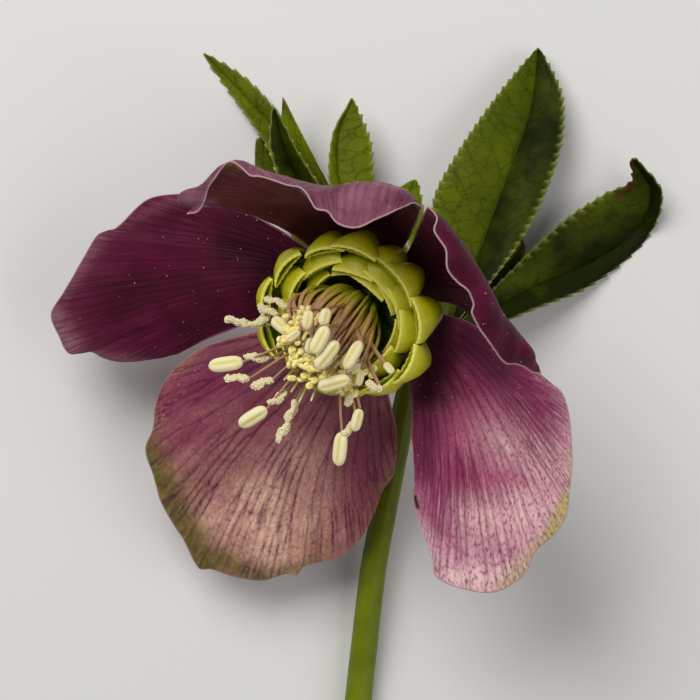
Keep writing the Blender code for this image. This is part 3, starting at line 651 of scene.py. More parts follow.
def vein_tracks(draw, trunks, forks):
    """Veins that leave the base, fork on the way and reach the margin."""
    tracks = []

    def grow(track, room, level):
        v, u = track[-1]
        step = draw.uniform(0.12, 0.24)
        if level == 0 or v + step > 0.94:
            tracks.append(np.array(track + [(1.02, u + draw.uniform(-0.3, 0.3) * room)]))
            return
        fork = (v + step, u + draw.uniform(-0.14, 0.14) * room)
        for side in (-1, 1):
            split = (fork[0] + step * 0.5, fork[1] + side * room * draw.uniform(0.17, 0.3))
            grow(track + [fork, split], room / 2, level - 1)

    for k in range(trunks):
        u = (k + 0.5) / trunks
        grow([(0.0, u), (0.12, u)], 1.0 / trunks, forks)
    return tracks


def vein_field(tracks, across, along, widths, thick, thin):
    """How much each point is in a vein; thick and thin are half widths in mm."""
    field = np.zeros((len(along), len(across)))
    half = (thick + (thin - thick) * along)[:, None]
    for track in tracks:
        line = np.interp(along, track[:, 0], track[:, 1])
        gap = np.abs(across[None, :] - line[:, None]) * widths[:, None]
        field = np.maximum(field, np.exp(-(gap / half) ** 2))
    return field


def edge_distance(grid):
    """Distance in mm from each grid point to the free edges."""
    down = np.linalg.norm(np.diff(grid, axis=0), axis=2)
    over = np.linalg.norm(np.diff(grid, axis=1), axis=2)
    outer = np.cumsum(down[::-1], axis=0)[::-1]
    outer = np.concatenate((outer, np.zeros((1, grid.shape[1]))))
    left = np.concatenate((np.zeros((grid.shape[0], 1)), np.cumsum(over, axis=1)), axis=1)
    right = left[:, -1:] - left
    return np.minimum(outer, np.minimum(left, right))


def build_sepal(name, settings, seed):
    """Sepal with ripples, fine puckers, raised veins and a thin margin."""
    base, places, rows = SEPALS[name]
    across = np.linspace(0.0, 1.0, settings.columns)
    along = np.linspace(0.0, 1.0, settings.rows)
    grid = blade_skin(sepal_rows(base, rows), places, across, along)
    widths = np.sum(np.linalg.norm(np.diff(grid, axis=1), axis=2), axis=1)
    edge = edge_distance(grid)
    tracks = vein_tracks(random.Random(seed), settings.trunks, VEIN_FORKS)
    veins = vein_field(tracks, across, along, widths, *VEIN_HALVES)
    u, v = np.meshgrid(across, along)
    fading = noise_grid(grid, VEIN_WAVE, seed + 40) * 2.5 + 0.5
    veins *= 0.55 + 0.45 * np.clip(fading, 0.0, 1.0)
    marks = SEPAL_MARKS[name]
    fields = {kind: stain(grid, marks.get(kind, ())) for kind in MARK_KINDS}
    fields.update(vein=veins, edge=edge, out=v)
    normals = grid_normals(grid)
    swell = noise_grid(grid, SWELL_WAVE, seed) * settings.pucker / MM * eased(v, 0.1, 0.5)
    pucker = noise_grid(grid, PUCKER_WAVE, seed + 20) * settings.pucker / MM * PUCKER_SHARE
    relief = veins * settings.vein_relief / MM
    grid = grid + normals * (swell + pucker - relief)[..., None]
    thick = settings.margin + (settings.thickness - settings.margin) * eased(edge, 0.0, 3.0)
    points, faces, rim = blade_body(grid, thick / MM)
    place = np.stack((over_blade(u, rim), over_blade(v, rim)), axis=1)
    # 0 on the face seen from above, 1 behind it and half on the rim
    count = u.size
    back = np.zeros(len(points))
    back[count:2 * count] = 1.0
    back[2 * count:] = 0.5
    values = {kind: over_blade(field, rim) for kind, field in fields.items()}
    return points, faces, {"back": back, **values}, place


# Where a sepal changes tone, as strokes seen from above: two ends, half width,
# strength. Green where it is still leafy, pale where it fades; the dark strokes are painted
# shade near the base and in folds.
MARK_KINDS = ("green", "pale", "painted_shade", "blush")
SEPAL_MARKS = {
    "sepal_left": {
        "pale": ((52, 316, 68, 350, 14, 0.9), (62, 292, 100, 236, 9, 0.55),
                 (68, 352, 140, 362, 7, 0.5), (108, 232, 180, 196, 7, 0.25)),
        "painted_shade": ((240, 235, 285, 290, 34, 0.8), (110, 300, 200, 305, 28, 0.35),
                 (130, 226, 230, 216, 14, 0.35)),
        "blush": ((120, 240, 200, 225, 26, 0.5), (130, 350, 230, 335, 16, 0.4)),
    },
    "sepal_lower_left": {
        "green": ((146, 452, 208, 568, 17, 1.0), (180, 540, 262, 579, 13, 0.85),
                  (262, 579, 318, 563, 8, 0.55), (190, 480, 240, 470, 20, 0.25)),
        "pale": ((262, 500, 270, 545, 34, 0.9), (215, 520, 300, 520, 24, 0.6),
                 (300, 460, 320, 520, 26, 0.4)),
        "blush": ((170, 400, 235, 375, 30, 0.9), (165, 440, 215, 420, 22, 0.7),
                  (360, 450, 385, 520, 24, 0.5), (340, 540, 372, 500, 20, 0.6)),
        "painted_shade": ((330, 400, 380, 430, 22, 0.5), (220, 360, 300, 375, 16, 0.45)),
    },
    "sepal_lower_right": {
        "green": ((568, 500, 548, 540, 9, 0.9), (548, 538, 505, 588, 9, 0.6),
                  (572, 450, 571, 490, 6, 0.4)),
        "pale": ((455, 580, 515, 578, 15, 1.0), (480, 520, 530, 510, 26, 0.65),
                 (500, 440, 545, 470, 26, 0.5),
                 (420, 525, 440, 560, 9, 0.35)),
        "blush": ((425, 440, 440, 520, 26, 0.9), (480, 345, 545, 410, 28, 0.85)),
        "painted_shade": ((440, 325, 425, 390, 28, 0.95), (460, 330, 500, 370, 20, 0.6),
                 (416, 497, 419, 508, 1.8, 1.0), (424, 410, 428, 470, 12, 0.4)),
    },
    "sepal_right": {
        "pale": ((500, 352, 516, 366, 12, 0.9), (486, 330, 500, 352, 7, 0.5)),
        "painted_shade": ((410, 250, 440, 290, 24, 0.8), (440, 300, 470, 310, 14, 0.7)),
        "blush": ((448, 240, 500, 320, 14, 0.5),),
    },
    "sepal_top": {
        "green": ((225, 165, 238, 166, 8, 0.4),),
        "pale": ((182, 196, 206, 206, 10, 0.9), (330, 216, 350, 222, 14, 0.45)),
        "painted_shade": ((300, 225, 390, 225, 22, 0.85), (255, 205, 290, 215, 16, 0.5)),
        "blush": ((225, 178, 250, 192, 14, 0.6), (320, 200, 400, 196, 12, 0.5)),
    },
}


def vein_net(add, place, wobble, bend, scale, width, strength):
    """Net of the finest veins, bent by noise so that no line runs straight."""
    wander = add("ShaderNodeTexNoise", {"Vector": place, "Scale": wobble}, 1)
    bent = add("ShaderNodeVectorMath", {0: wander, 1: (bend, bend, 0.0), 2: place},
               operation="MULTIPLY_ADD")
    net = add("ShaderNodeTexVoronoi", {"Vector": bent, "Scale": scale},
              feature="DISTANCE_TO_EDGE")
    return add("ShaderNodeMapRange", {0: net, 1: 0.0, 2: width, 3: strength, 4: 0.0})


def sepal_material(name, tones, settings):
    """Sepal tissue: soft satin skin, mottled, with darker veins, a pale margin and painted
    shade near the base and in folds.
    """
    material, add, solid = new_skin(name)
    place = add("ShaderNodeUVMap", uv_map="blade")
    read = {label: add("ShaderNodeAttribute", out="Fac", attribute_name=label)
            for label in ("vein", "edge", "back", "out", *MARK_KINDS)}
    # The blade measured out for the streaks, the mottling and the net of veins
    fan, fine, stretch = (add("ShaderNodeVectorMath", {0: place, 1: times},
                              operation="MULTIPLY")
                          for times in ((70.0, 7.0, 1.0), (130.0, 66.0, 1.0), tones["net"]))

    # Cloudy tissue: patches about 6 mm across, under the tone of the tip
    clouds = add("ShaderNodeTexNoise", {"Vector": solid, "Scale": 170.0, "Detail": 5.0})
    clouds = add("ShaderNodeMapRange", {0: clouds, 1: 0.36, 2: 0.64})
    reach = add("ShaderNodeMapRange", {0: read["out"], 1: tones["tip_from"], 2: 1.0},
                interpolation_type="SMOOTHSTEP")
    layers = [(clouds, tones["mid"]), (reach, tones["tip"])]

    # Streaks that fan out from the base, about 0.5 mm wide and 6 mm long
    streaks = add("ShaderNodeTexNoise",
                  {"Vector": fan, "Scale": 1.0, "Detail": 3.0, "Roughness": 0.6})
    ragged = add("ShaderNodeMapRange", {0: streaks, 1: 0.3, 2: 0.7, 3: 0.55, 4: 1.45})
    for label in ("blush", "pale", "green"):
        patch = add("ShaderNodeMath", {0: read[label], 1: ragged}, operation="MULTIPLY",
                    use_clamp=True)
        layers.append((patch, tones[label]))

    # Fine mottling: cells about 0.4 mm across, drawn out along the veins
    grains = add("ShaderNodeTexNoise", {"Vector": fine, "Scale": 1.0, "Detail": 2.0})
    dots = add("ShaderNodeMapRange", {0: grains, 1: 0.5, 2: 0.68})
    dots = add("ShaderNodeMath", {0: dots, 1: tones["mottle"]}, operation="MULTIPLY")
    # Pale streaks show in the outer half only
    outer = add("ShaderNodeMapRange", {0: read["out"], 1: 0.45, 2: 0.85})
    bright = add("ShaderNodeMapRange",
                 {0: streaks, 1: 0.52, 2: 0.72, 3: 0.0, 4: tones["streak"]})
    bright = add("ShaderNodeMath", {0: bright, 1: outer}, operation="MULTIPLY")
    behind = add("ShaderNodeMix", {0: clouds, 6: tones["back"], 7: tones["back_high"]}, 2,
                 data_type="RGBA")

    # Net of the smallest veins between the forking ones
    net = vein_net(add, stretch, 1.6, 0.7, 1.0, 0.11, 1.0)
    lines = add("ShaderNodeMath", {0: net, 1: tones["net_strength"], 2: read["vein"]},
                operation="MULTIPLY_ADD")
    lines = add("ShaderNodeMath", {0: lines, 1: tones["vein_strength"]}, operation="MULTIPLY",
                use_clamp=True)

    # The margin is thin and lets light through, so it looks like a pale line
    rim = add("ShaderNodeMapRange",
              {0: read["edge"], 1: 0.03, 2: 0.2, 3: tones["rim"], 4: 0.0})
    free = add("ShaderNodeMapRange", {0: read["out"], 1: 0.25, 2: 0.6})
    rim = add("ShaderNodeMath", {0: rim, 1: free}, operation="MULTIPLY")

    # Painted shade: where the dark strokes lie, the skin turns to the shade tone
    layers += [(dots, tones["dots"]), (bright, tones["pale"]), (read["painted_shade"], tones["painted_shade_tone"]),
               (read["back"], behind), (lines, tones["vein"]),
               (rim, tuple(settings.margin_tone))]
    skin = tones["deep"]
    for share, tone in layers:
        skin = add("ShaderNodeMix", {0: share, 6: skin, 7: tone}, 2, data_type="RGBA")
    relief = add("ShaderNodeMath", {0: streaks, 1: 0.6, 2: grains}, operation="MULTIPLY_ADD")
    return finish_skin(material, skin, relief, 0.35, 0.00012, Roughness=0.55, IOR=1.4,
                       Specular_IOR_Level=0.12, Sheen_Weight=0.02)


# Colours and measures of each sepal's skin, in the order of their names
# The seventh colour of each sepal is the painted shade tone that its dark strokes lay on
TONE_NAMES = ("deep", "mid", "tip", "pale", "green", "blush", "painted_shade_tone", "dots", "back",
              "back_high", "vein")
MEASURE_NAMES = ("tip_from", "mottle", "streak", "net", "net_strength", "vein_strength", "rim")
SEPAL_TONES = {
    "sepal_left": (
        "430820 5a0d30 64203c 95646e 6b5a38 64143a 2a0610 38061a 7c3a55 93506c 2a0414",
        (0.82, 0.22, 0.07, (34.0, 9.0, 1.0), 0.35, 0.55, 0.4)),
    "sepal_lower_left": (
        "8e4a54 a66c6c aa7c60 eabca2 5c5a1c 823050 5a243c 6c2c44 93606c a87880 4c1236",
        (0.75, 0.42, 0.25, (40.0, 20.0, 1.0), 0.36, 0.72, 0.3)),
    "sepal_lower_right": (
        "8a3454 b05878 d4a0ac ecc4c2 b0ac5a 84305a 1c0a0c 8a2050 9c5c74 b07c8c 561034",
        (0.72, 0.75, 0.5, (36.0, 20.0, 1.0), 0.3, 0.6, 0.35)),
    "sepal_right": (
        "6c2c3a 843e4c 844058 a8809a 6b5a38 8a3c58 3a1418 501828 3e0419 600836 380c18",
        (0.8, 0.3, 0.12, (30.0, 7.0, 1.0), 0.35, 0.45, 0.65)),
    "sepal_top": (
        "5c2a28 74383a 844a58 a0627e 8c7c44 7c2c40 4a1c18 481a18 6c3a4c 8c566a 361014",
        (0.8, 0.3, 0.14, (30.0, 7.0, 1.0), 0.35, 0.45, 0.6)),
}


def sepal_tones(name):
    """Colours and measures of a sepal's skin, by name."""
    codes, measures = SEPAL_TONES[name]
    colours = zip(TONE_NAMES, map(linear, codes.split()))
    return {**dict(colours), **dict(zip(MEASURE_NAMES, measures))}


# Bracts

# Painted light and shade on each lobe, left and right of its midrib, from deep green 0 where
# it is shaded to light 1 where it is lit.
LOBE_LIGHT_AND_SHADE = {
    "bract_left": ((0.72, 0.6), (0.12, 0.24), (0.85, 0.75), (0.6, 0.5)),
    "bract_upper": ((0.74, 0.62), (0.85, 0.7)),
    "bract_right": ((0.5, 0.1), (0.4, 0.25), (0.12, -0.1)),
}
# Dried brown places on the lobes: two ends, half width, strength
LEAF_BROWN = (
    (629, 159, 632, 172, 3.0, 1.0), (632, 172, 629, 188, 3.0, 1.0),
    (629, 188, 616, 196, 2.5, 0.9), (521, 240, 524, 250, 2.5, 0.9),
    (277, 97, 282, 107, 4.0, 1.0), (582, 222, 584, 226, 2.5, 0.5),
)


def lobe_surface(lobe, settings):
    """Toothed blade; gives its grid, mm from the midrib and the teeth."""
    left, rib, right, teeth = lobe
    lines = []
    for line in (left, rib, right):
        points = np.array([low_spot(*point) for point in line])
        lines.append((points, chord_knots(points)))
    # Rows of the mesh follow the teeth, which leave the root and the tip plain
    pitches = teeth * 2 + 4
    stations = np.linspace(0.0, 1.0, pitches * settings.tooth_steps + 1)
    edge_l, centre, edge_r = (smooth_at(p, k, stations) for p, k in lines)
    ahead = units(np.gradient(centre, axis=0))
    pitch = stations * pitches
    toothed = eased(pitch, 1.5, 2.5) * (1.0 - eased(pitch, pitches - 1.0, pitches))
    side = np.linspace(-1.0, 1.0, settings.lobe_columns)
    share = np.abs(side)
    grid = np.zeros((len(stations), len(side), 3))
    teeth_at = np.zeros(grid.shape[:2])
    for j, s in enumerate(side):
        saw = np.mod(pitch + (0.0 if s < 0 else 0.4), 1.0) ** 1.6
        edge = edge_l if s < 0 else edge_r
        out = units(edge - centre)
        tooth = (out * (-TOOTH_NOTCH / 2 + (TOOTH_OUT + TOOTH_NOTCH / 2) * saw[:, None])
                 + ahead * (TOOTH_AHEAD * 0.8 * saw ** 2)[:, None]) * toothed[:, None]
        fringe = eased(share[j], TOOTH_FROM, 1.0)
        grid[:, j] = centre + (edge - centre) * share[j] + tooth * fringe
        teeth_at[:, j] = saw ** 2 * fringe * toothed
    widths = np.linalg.norm(edge_r - edge_l, axis=1)
    lift = unit(np.cross(edge_r[len(stations) // 2] - edge_l[len(stations) // 2],
                         centre[-1] - centre[0]))
    if lift[2] < 0:
        lift = -lift
    arch = np.sin(math.pi * share)[None, :] * LOBE_ARCH * widths[:, None]
    grid = grid + lift * arch[..., None]
    return grid, side[None, :] * widths[:, None] / 2, teeth_at


def build_lobe(lobe, tones, settings, seed):
    """One lobe with its midrib, side veins and puffed tissue between them."""
    grid, across, teeth = lobe_surface(lobe, settings)
    steps = np.linalg.norm(np.diff(grid[:, grid.shape[1] // 2], axis=0), axis=1)
    length = np.concatenate(((0.0,), np.cumsum(steps)))
    along = np.broadcast_to(length[:, None], across.shape)
    rib = np.exp(-(across / RIB_HALF) ** 2)
    # Side veins slant forward and leave the midrib by turns
    pitch = SIDE_VEIN_PITCH
    slant = along - np.abs(across) * 1.2 + noise_grid(grid, 2.5, seed + 9) * 1.6
    slant = slant + np.where(across > 0, 0.0, pitch / 2)
    gap = pitch / 2 - np.abs(np.mod(slant, pitch) - pitch / 2)
    side_veins = np.exp(-(gap / SIDE_VEIN_HALF) ** 2) * eased(np.abs(across), 0.0, 0.5)
    veins = np.maximum(rib * 0.6, side_veins * 0.8)
    normals = grid_normals(grid)
    if np.mean(normals[..., 2]) < 0:
        normals = -normals
    # The tissue puffs up between the veins
    puff = noise_grid(grid, 2.0, seed) * 0.14 - np.maximum(rib, side_veins) * 0.09
    edge = edge_distance(grid)
    brown = stain(grid, LEAF_BROWN)
    grid = grid + normals * puff[..., None]
    thick = LOBE_THIN + LOBE_SWELL * eased(edge, 0.0, 1.5)
    points, faces, rim = blade_body(grid, thick)
    # Painted light and shade: each half of the lobe has its own lightness, with random patches
    # of tone over it
    half = eased(across, -0.25, 0.25)
    tone = tones[0] + (tones[1] - tones[0]) * half + noise_grid(grid, 9.0, seed + 3) * 0.3
    fields = {"vein": veins, "edge": edge, "tone": tone, "tooth": teeth, "brown": brown}
    values = {kind: over_blade(field, rim) for kind, field in fields.items()}
    place = np.stack((over_blade(across, rim), over_blade(along, rim)), axis=1)
    return points, faces, values, place


def bract_material():
    """Leaf: dull waxy green with painted light and shade, a sparse darker net and pale tooth
    tips.
    """
    material, add, solid = new_skin("waxy bract leaf")
    place = add("ShaderNodeUVMap", uv_map="blade")
    read = {label: add("ShaderNodeAttribute", out="Fac", attribute_name=label)
            for label in ("vein", "edge", "tone", "tooth", "brown")}
    clouds = add("ShaderNodeTexNoise", {"Vector": solid, "Scale": 300.0, "Detail": 4.0})
    # Deep to light green as the lobe values say: painted light and shade, broken up by cloudy
    # patches
    tone = add("ShaderNodeMath", {0: clouds, 1: 0.5, 2: read["tone"]},
               operation="MULTIPLY_ADD")
    tone = add("ShaderNodeMapRange", {0: tone, 1: 0.25, 2: 1.25})
    leaf = add("ShaderNodeMix", {0: tone, 6: linear("182002"), 7: linear("68740a")}, 2,
               data_type="RGBA")
    # Cells about 0.25 mm across show as a fine grain
    cells = add("ShaderNodeTexVoronoi", {"Vector": solid, "Scale": 4000.0})
    leaf = add("ShaderNodeMix", {0: 0.12, 6: leaf, 7: cells}, 2, data_type="RGBA",
               blend_type="SOFT_LIGHT")

    # Sparse net of veins between the side veins
    net = vein_net(add, place, 0.9, 1.6, 0.42, 0.05, 0.55)
    lines = add("ShaderNodeMath", {0: net, 1: read["vein"]}, operation="MAXIMUM")
    shade = add("ShaderNodeMath", {0: lines, 1: 0.75}, operation="MULTIPLY")
    rim = add("ShaderNodeMapRange", {0: read["edge"], 1: 0.02, 2: 0.14, 3: 0.4, 4: 0.0})
    rim = add("ShaderNodeMath", {0: read["tooth"], 1: rim}, operation="MAXIMUM")
    for share, code in ((shade, "161c02"), (rim, "9aa050"), (read["brown"], "4c2410")):
        leaf = add("ShaderNodeMix", {0: share, 6: leaf, 7: linear(code)}, 2, data_type="RGBA")
    return finish_skin(material, leaf, lines, 0.5, Roughness=0.55, Specular_IOR_Level=0.05)


def bract_root(place):
    """Clasping root of a bract: a short flat lump on the stem, 3.2 mm wide."""
    centre = low_spot(*place)
    path = [centre + np.array((k * 0.35, -k * 0.1, 0.0)) for k in range(-4, 5)]
    swell = np.array([math.sqrt(1.02 - (k / 4.0) ** 2) for k in range(-4, 5)])
    return loft(tube_rings(path, 1.6 * swell, 0.66 * swell, np.array((0.35, 0.9, 0.0)), 20))


# Centre of the flower

def nectary_draws():
    """Azimuth, reach, rise, width and lean of each pouch, as in the part."""
    draw = random.Random(NECTARY_SEED)
    found = []
    for count, first, step, reach, rise, width in NECTARY_ROWS:
        for k in range(count):
            azimuth = first + step * k + draw.uniform(-NECTARY_SWING, NECTARY_SWING)
            oval = NECTARY_OVAL * math.cos(math.radians(2.0 * azimuth + OVAL_TURN))
            far = reach + oval + draw.uniform(-NECTARY_LOOSE, NECTARY_LOOSE)
            high = rise + draw.uniform(-NECTARY_LOOSE, NECTARY_LOOSE)
            wide = width * draw.uniform(*NECTARY_WIDTHS)
            found.append((azimuth, far, high, wide, draw.uniform(-NECTARY_LEAN, NECTARY_LEAN)))
    return found


# The pouch before it is sized, mm
POUCH_REACH = 11.0
POUCH_RISE = 7.1
POUCH_WIDTH = 2.8
POUCH_SIDES = 72
POUCH_RINGS = 18
CRIMPS = 18
# How far the hoods reach over the middle, mm, in the outer row and in the others
OUTER_HOOD = 0.2
INNER_HOOD = 1.5
# Share of the tone just past the outermost lip
LIP_SHARE = 1.2
# Rings of the rolled lip, then the mouth: mm outward, mm ahead, share of the hood's size
LIP_ROLL = ((0.02, 0.1, 1.0), (0.16, 0.2, 1.0), (0.26, 0.36, 1.0), (0.26, 0.52, 1.0),
            (0.14, 0.66, 0.99), (-0.05, 0.62, 0.96), (-0.2, 0.3, 0.88), (-0.1, -0.8, 0.6))
CRIMP_DEPTH = 0.035


def pouch_body(hood):
    """One nectary: x outward, y around, z along the flower axis, in mm.

    hood is how far its lip reaches over the middle.
    """
    reach, rise, width = POUCH_REACH, POUCH_RISE, POUCH_WIDTH
    # x, z, half width, half depth, how pointed the two corners are
    knots = np.array((
        (1.6, 1.5, 0.55, 0.45, 1.0),
        (reach * 0.66, 2.4 + rise * 0.12, 0.9 + width * 0.1, 0.7, 1.0),
        (reach * 0.95, 2.6 + rise * 0.5, width * 0.8, 0.75, 1.0),
        (reach * 0.99, 2.4 + rise * 0.78, width * 1.02, 0.55, 1.3),
        (reach * 0.985 - hood * 0.3, 2.4 + rise * 0.96, width * 1.12, 0.48, 1.5),
        (reach * 0.93 - hood, 2.4 + rise * 1.05, width * 1.16, 0.42, 1.7),
    ))
    shares = np.linspace(0.0, 1.0, POUCH_RINGS)
    read = smooth_at(knots, chord_knots(knots[:, :2]), shares)
    path = np.column_stack((read[:, 0], np.zeros(POUCH_RINGS), read[:, 1]))
    along = units(np.gradient(path, axis=0))
    around = np.array((0.0, 1.0, 0.0))
    turn = np.linspace(0.0, 2 * math.pi, POUCH_SIDES, endpoint=False)
    rings, lips = [], []
    for share, middle, ahead, (wide, deep, point) in zip(shares, path, along, read[:, 2:]):
        back = np.cross(ahead, around)
        tall = np.sign(np.sin(turn)) * np.abs(np.sin(turn)) ** point
        ring = (middle + around * (np.cos(turn) * wide)[:, None]
                + back * (tall * deep)[:, None])
        # Its sides wrap inward round the rows inside
        wrap = np.interp(share, (0.4, 0.7, 0.85, 1.0), (0.0, 1.3, 1.5, 0.5))
        ring[:, 0] -= wrap * np.cos(turn) ** 2
        rings.append(ring)
        # The tone rises along the pouch to the lip; the dark green low on it is painted shade
        lips.append(np.full(POUCH_SIDES, 0.92 * share))
    # The lip swells into a rolled, crimped rim and turns into the mouth
    end, middle = rings[-1], rings[-1].mean(axis=0)
    crimp = CRIMP_DEPTH * np.cos(turn * CRIMPS)
    lift = np.sign(np.sin(turn)) * np.abs(np.sin(turn)) ** 0.5
    for grow, forth, share in LIP_ROLL:
        ring = middle + (end - middle) * share
        rolled = back * (lift * (grow + crimp * (grow > 0)))[:, None]
        rings.append(ring + rolled + ahead * (forth + crimp)[:, None])
        # Lighter on the rolled lip, partly a painted highlight; darker in the mouth rings
        # under it, painted shade
        lips.append(np.full(POUCH_SIDES, 1.0 + grow if grow > 0 else 0.9 + grow * 2.0))
    points, faces = loft(rings)
    return points, faces, np.concatenate(lips) / LIP_SHARE


def instance_tree(name):
    """Copies of a shape at points, turned to their axes and sized."""
    tree, add, given = growth_tree(name, Shape="Object", Twist="Float", Seed="Int")
    shape = add("GeometryNodeObjectInfo", {"Object": given["Shape"]}, "Geometry")
    ahead, upward, size = (
        add("GeometryNodeInputNamedAttribute", {0: label}, data_type="FLOAT_VECTOR")
        for label in ("ahead", "upward", "size"))
    turned = add("FunctionNodeAxesToRotation", {0: upward, 1: ahead})
    low = add("ShaderNodeMath", {0: given["Twist"], 1: -1.0}, operation="MULTIPLY")
    angle = add("FunctionNodeRandomValue", {2: low, 3: given["Twist"], "Seed": given["Seed"]},
                1)
    twist = add("FunctionNodeAxisAngleToRotation", {0: (1.0, 0.0, 0.0), 1: angle})
    turned = add("FunctionNodeRotateRotation", {0: turned, 1: twist}, rotation_space="LOCAL")
    copies = add("GeometryNodeInstanceOnPoints",
                 {"Points": given["Geometry"], "Instance": shape, "Rotation": turned,
                  "Scale": size})
    end_growth(add, copies, given)
    return tree


def copies_of(name, body, spots, material, twist, seed):
    """Piece made of one shape set at many spots: place, ahead, upward, size."""
    places, ahead, upward, size = zip(*spots)
    source = in_scene("places", marked_mesh("places", places, [], [],
                                            {"ahead": ahead, "upward": upward, "size": size}))
    points, faces, *share = body
    form = new_piece(name + "_form", points, faces, None,
                     {"share": share[0]} if share else None)
    piece = grown(name, source, instance_tree(name + " placing"),
                  {"Shape": form, "Material": material, "Twist": twist, "Seed": seed})
    bpy.data.objects.remove(form, do_unlink=True)
    return piece


def grain_body():
    """Pollen grain: a rough ball 1 mm across, of twenty faces."""
    work = bmesh.new()
    bmesh.ops.create_icosphere(work, subdivisions=1, radius=0.5)
    points = np.array([tuple(v.co) for v in work.verts])
    faces = [tuple(v.index for v in f.verts) for f in work.faces]
    work.free()
    return points, faces


def pollen_tree():
    """Grains stuck all over a surface."""
    tree, add, given = growth_tree("pollen grains", Grain="Object", Density="Float",
                                   Seed="Int")
    shape = add("GeometryNodeObjectInfo", {"Object": given["Grain"]}, "Geometry")
    cover = add("GeometryNodeDistributePointsOnFaces",
                {"Mesh": given["Geometry"], "Density": given["Density"],
                 "Seed": given["Seed"]})
    low, high = GRAIN_SIZES
    size = add("FunctionNodeRandomValue", {2: low, 3: high, "Seed": 2}, 1)
    copies = add("GeometryNodeInstanceOnPoints",
                 {"Points": cover, "Instance": shape, "Scale": size})
    end_growth(add, copies, given)
    return tree


def bowed(root, bend, end):
    """Line from root to end that bows towards bend."""
    t = np.linspace(0.0, 1.0, LINE_POINTS)[:, None]
    return root * (1 - t) ** 2 + bend * 2 * t * (1 - t) + end * t * t


def anther_pose(head, turn, length):
    """Back end and direction of an anther whose middle is at head."""
    angle = math.radians(turn)
    ahead = unit(np.array((-math.cos(angle), -math.sin(angle), -ANTHER_DIP)))
    return head - ahead * length / 2, ahead


def upright(ahead):
    """Direction square to ahead that points up as far as it can."""
    return unit(np.array((0.0, 0.0, 1.0)) - ahead * ahead[2])


def stamen_paths():
    """Filament line and anther pose of each stamen, as in the part."""
    draw = random.Random(STAMEN_SEED)
    found = []
    for across, down, rise, turn, length, width in ANTHERS:
        head = spot(across, down, rise)
        out = head - (CENTRE + AXIS * DOME_HIGH)
        spread = unit(out - AXIS * (out @ AXIS)) * draw.uniform(*SPREAD)
        root = CENTRE + AXIS * DOME_MIDDLE + spread
        reach = np.linalg.norm(head - root)
        bend = root + AXIS * reach * SPREAD_RISE + spread * SPREAD_OUT
        back, ahead = anther_pose(head, turn, length)
        found.append((bowed(root, bend, back), back, ahead, length, width))
    start, end = (spot(*place) for place in ARCH_HEADS)
    for k in range(ARCH_STAMENS):
        share = (k + 0.5) / ARCH_STAMENS
        azimuth = ARCH_FIRST + (ARCH_LAST - ARCH_FIRST) * share
        azimuth += draw.uniform(-ARCH_SWING, ARCH_SWING)
        root = in_flower(azimuth, ARCH_ROOT, DOME_MIDDLE)
        bend = in_flower(azimuth, ARCH_BULGE * draw.uniform(*ARCH_SHARES), ARCH_RISE)
        loose = [draw.uniform(-ARCH_LOOSE, ARCH_LOOSE) for _ in range(3)]
        head = start + (end - start) * share + np.array(loose)
        back, ahead = anther_pose(head, draw.uniform(*ARCH_TURNS), ARCH_ANTHER[0])
        found.append((bowed(root, bend, back), back, ahead, *ARCH_ANTHER))
    return found


# Young anthers crowd along this line, seen from above with their rise
YOUNG_LINE = ((304, 316, 10.5), (300, 332, 10.5), (303, 350, 10.0), (314, 366, 9.8),
              (332, 376, 9.8), (350, 372, 10.4))


def young_stamens(settings):
    """Arching filaments and crowded young anthers between the grown ones."""
    draw = random.Random(31)
    line = np.array([spot(*place) for place in YOUNG_LINE])
    knots = chord_knots(line)
    filaments, heads = [], []
    for k in range(settings.arching):
        share = (k + 0.5) / settings.arching
        azimuth = FINE_FIRST + FINE_SWEEP * share + draw.uniform(-FINE_SWING, FINE_SWING)
        root = in_flower(azimuth, draw.uniform(*FINE_ROOTS), DOME_MIDDLE)
        bulge = ARCH_BULGE * draw.uniform(*FINE_BULGES)
        bulge *= 1.0 + FINE_EXTRA * float(eased(azimuth, *FINE_EXTRA_FROM))
        bend = in_flower(azimuth, bulge, ARCH_RISE * draw.uniform(*FINE_RISES))
        loose = [draw.uniform(-FINE_LOOSE, FINE_LOOSE) for _ in range(3)]
        end = smooth_at(line, knots, 1.0 - share)[0] + np.array(loose)
        filaments.append(bowed(root, bend, end))
    for _ in range(settings.young):
        place = smooth_at(line, knots, draw.random())[0]
        place = place + np.array((draw.gauss(0.6, 1.2), draw.gauss(0.3, 1.0),
                                  draw.uniform(-1.8, 0.3)))
        turn = draw.uniform(*YOUNG_TURNS)
        ahead = unit(np.array((-math.cos(turn), -math.sin(turn), draw.uniform(*YOUNG_LIFTS))))
        wide = draw.uniform(*YOUNG_WIDTHS)
        size = (draw.uniform(*YOUNG_LENGTHS), wide, wide)
        heads.append((place, ahead, upright(ahead), size))
    return filaments, heads


def anther_body(sides, rings):
    """Plump anther: two sacs with a groove between, 1 mm long, 1 mm half wide."""
    turn = np.linspace(0.0, 2 * math.pi, sides, endpoint=False)
    seam = np.exp(-(np.cos(turn) / GROOVE) ** 2)
    points, groove = [], []
    for t in np.linspace(0.0, 1.0, rings):
        # From nearly 0 at its ends, where it rounds off, to 1 in the middle
        place = 1.0 - abs(2 * t - 1) * 0.985
        full = (1.0 - (1.0 - place) ** 3.4) ** 0.5
        deep = 1.0 - GROOVE * seam * eased(place, 0.05, 0.35)
        points.append(np.column_stack((np.full(sides, t), np.cos(turn) * full,
                                       np.sin(turn) * full * ANTHER_THICK * deep)))
        groove.append(seam * eased(place, 0.08, 0.3))
    body, faces = loft(points)
    return body, faces, np.concatenate(groove)


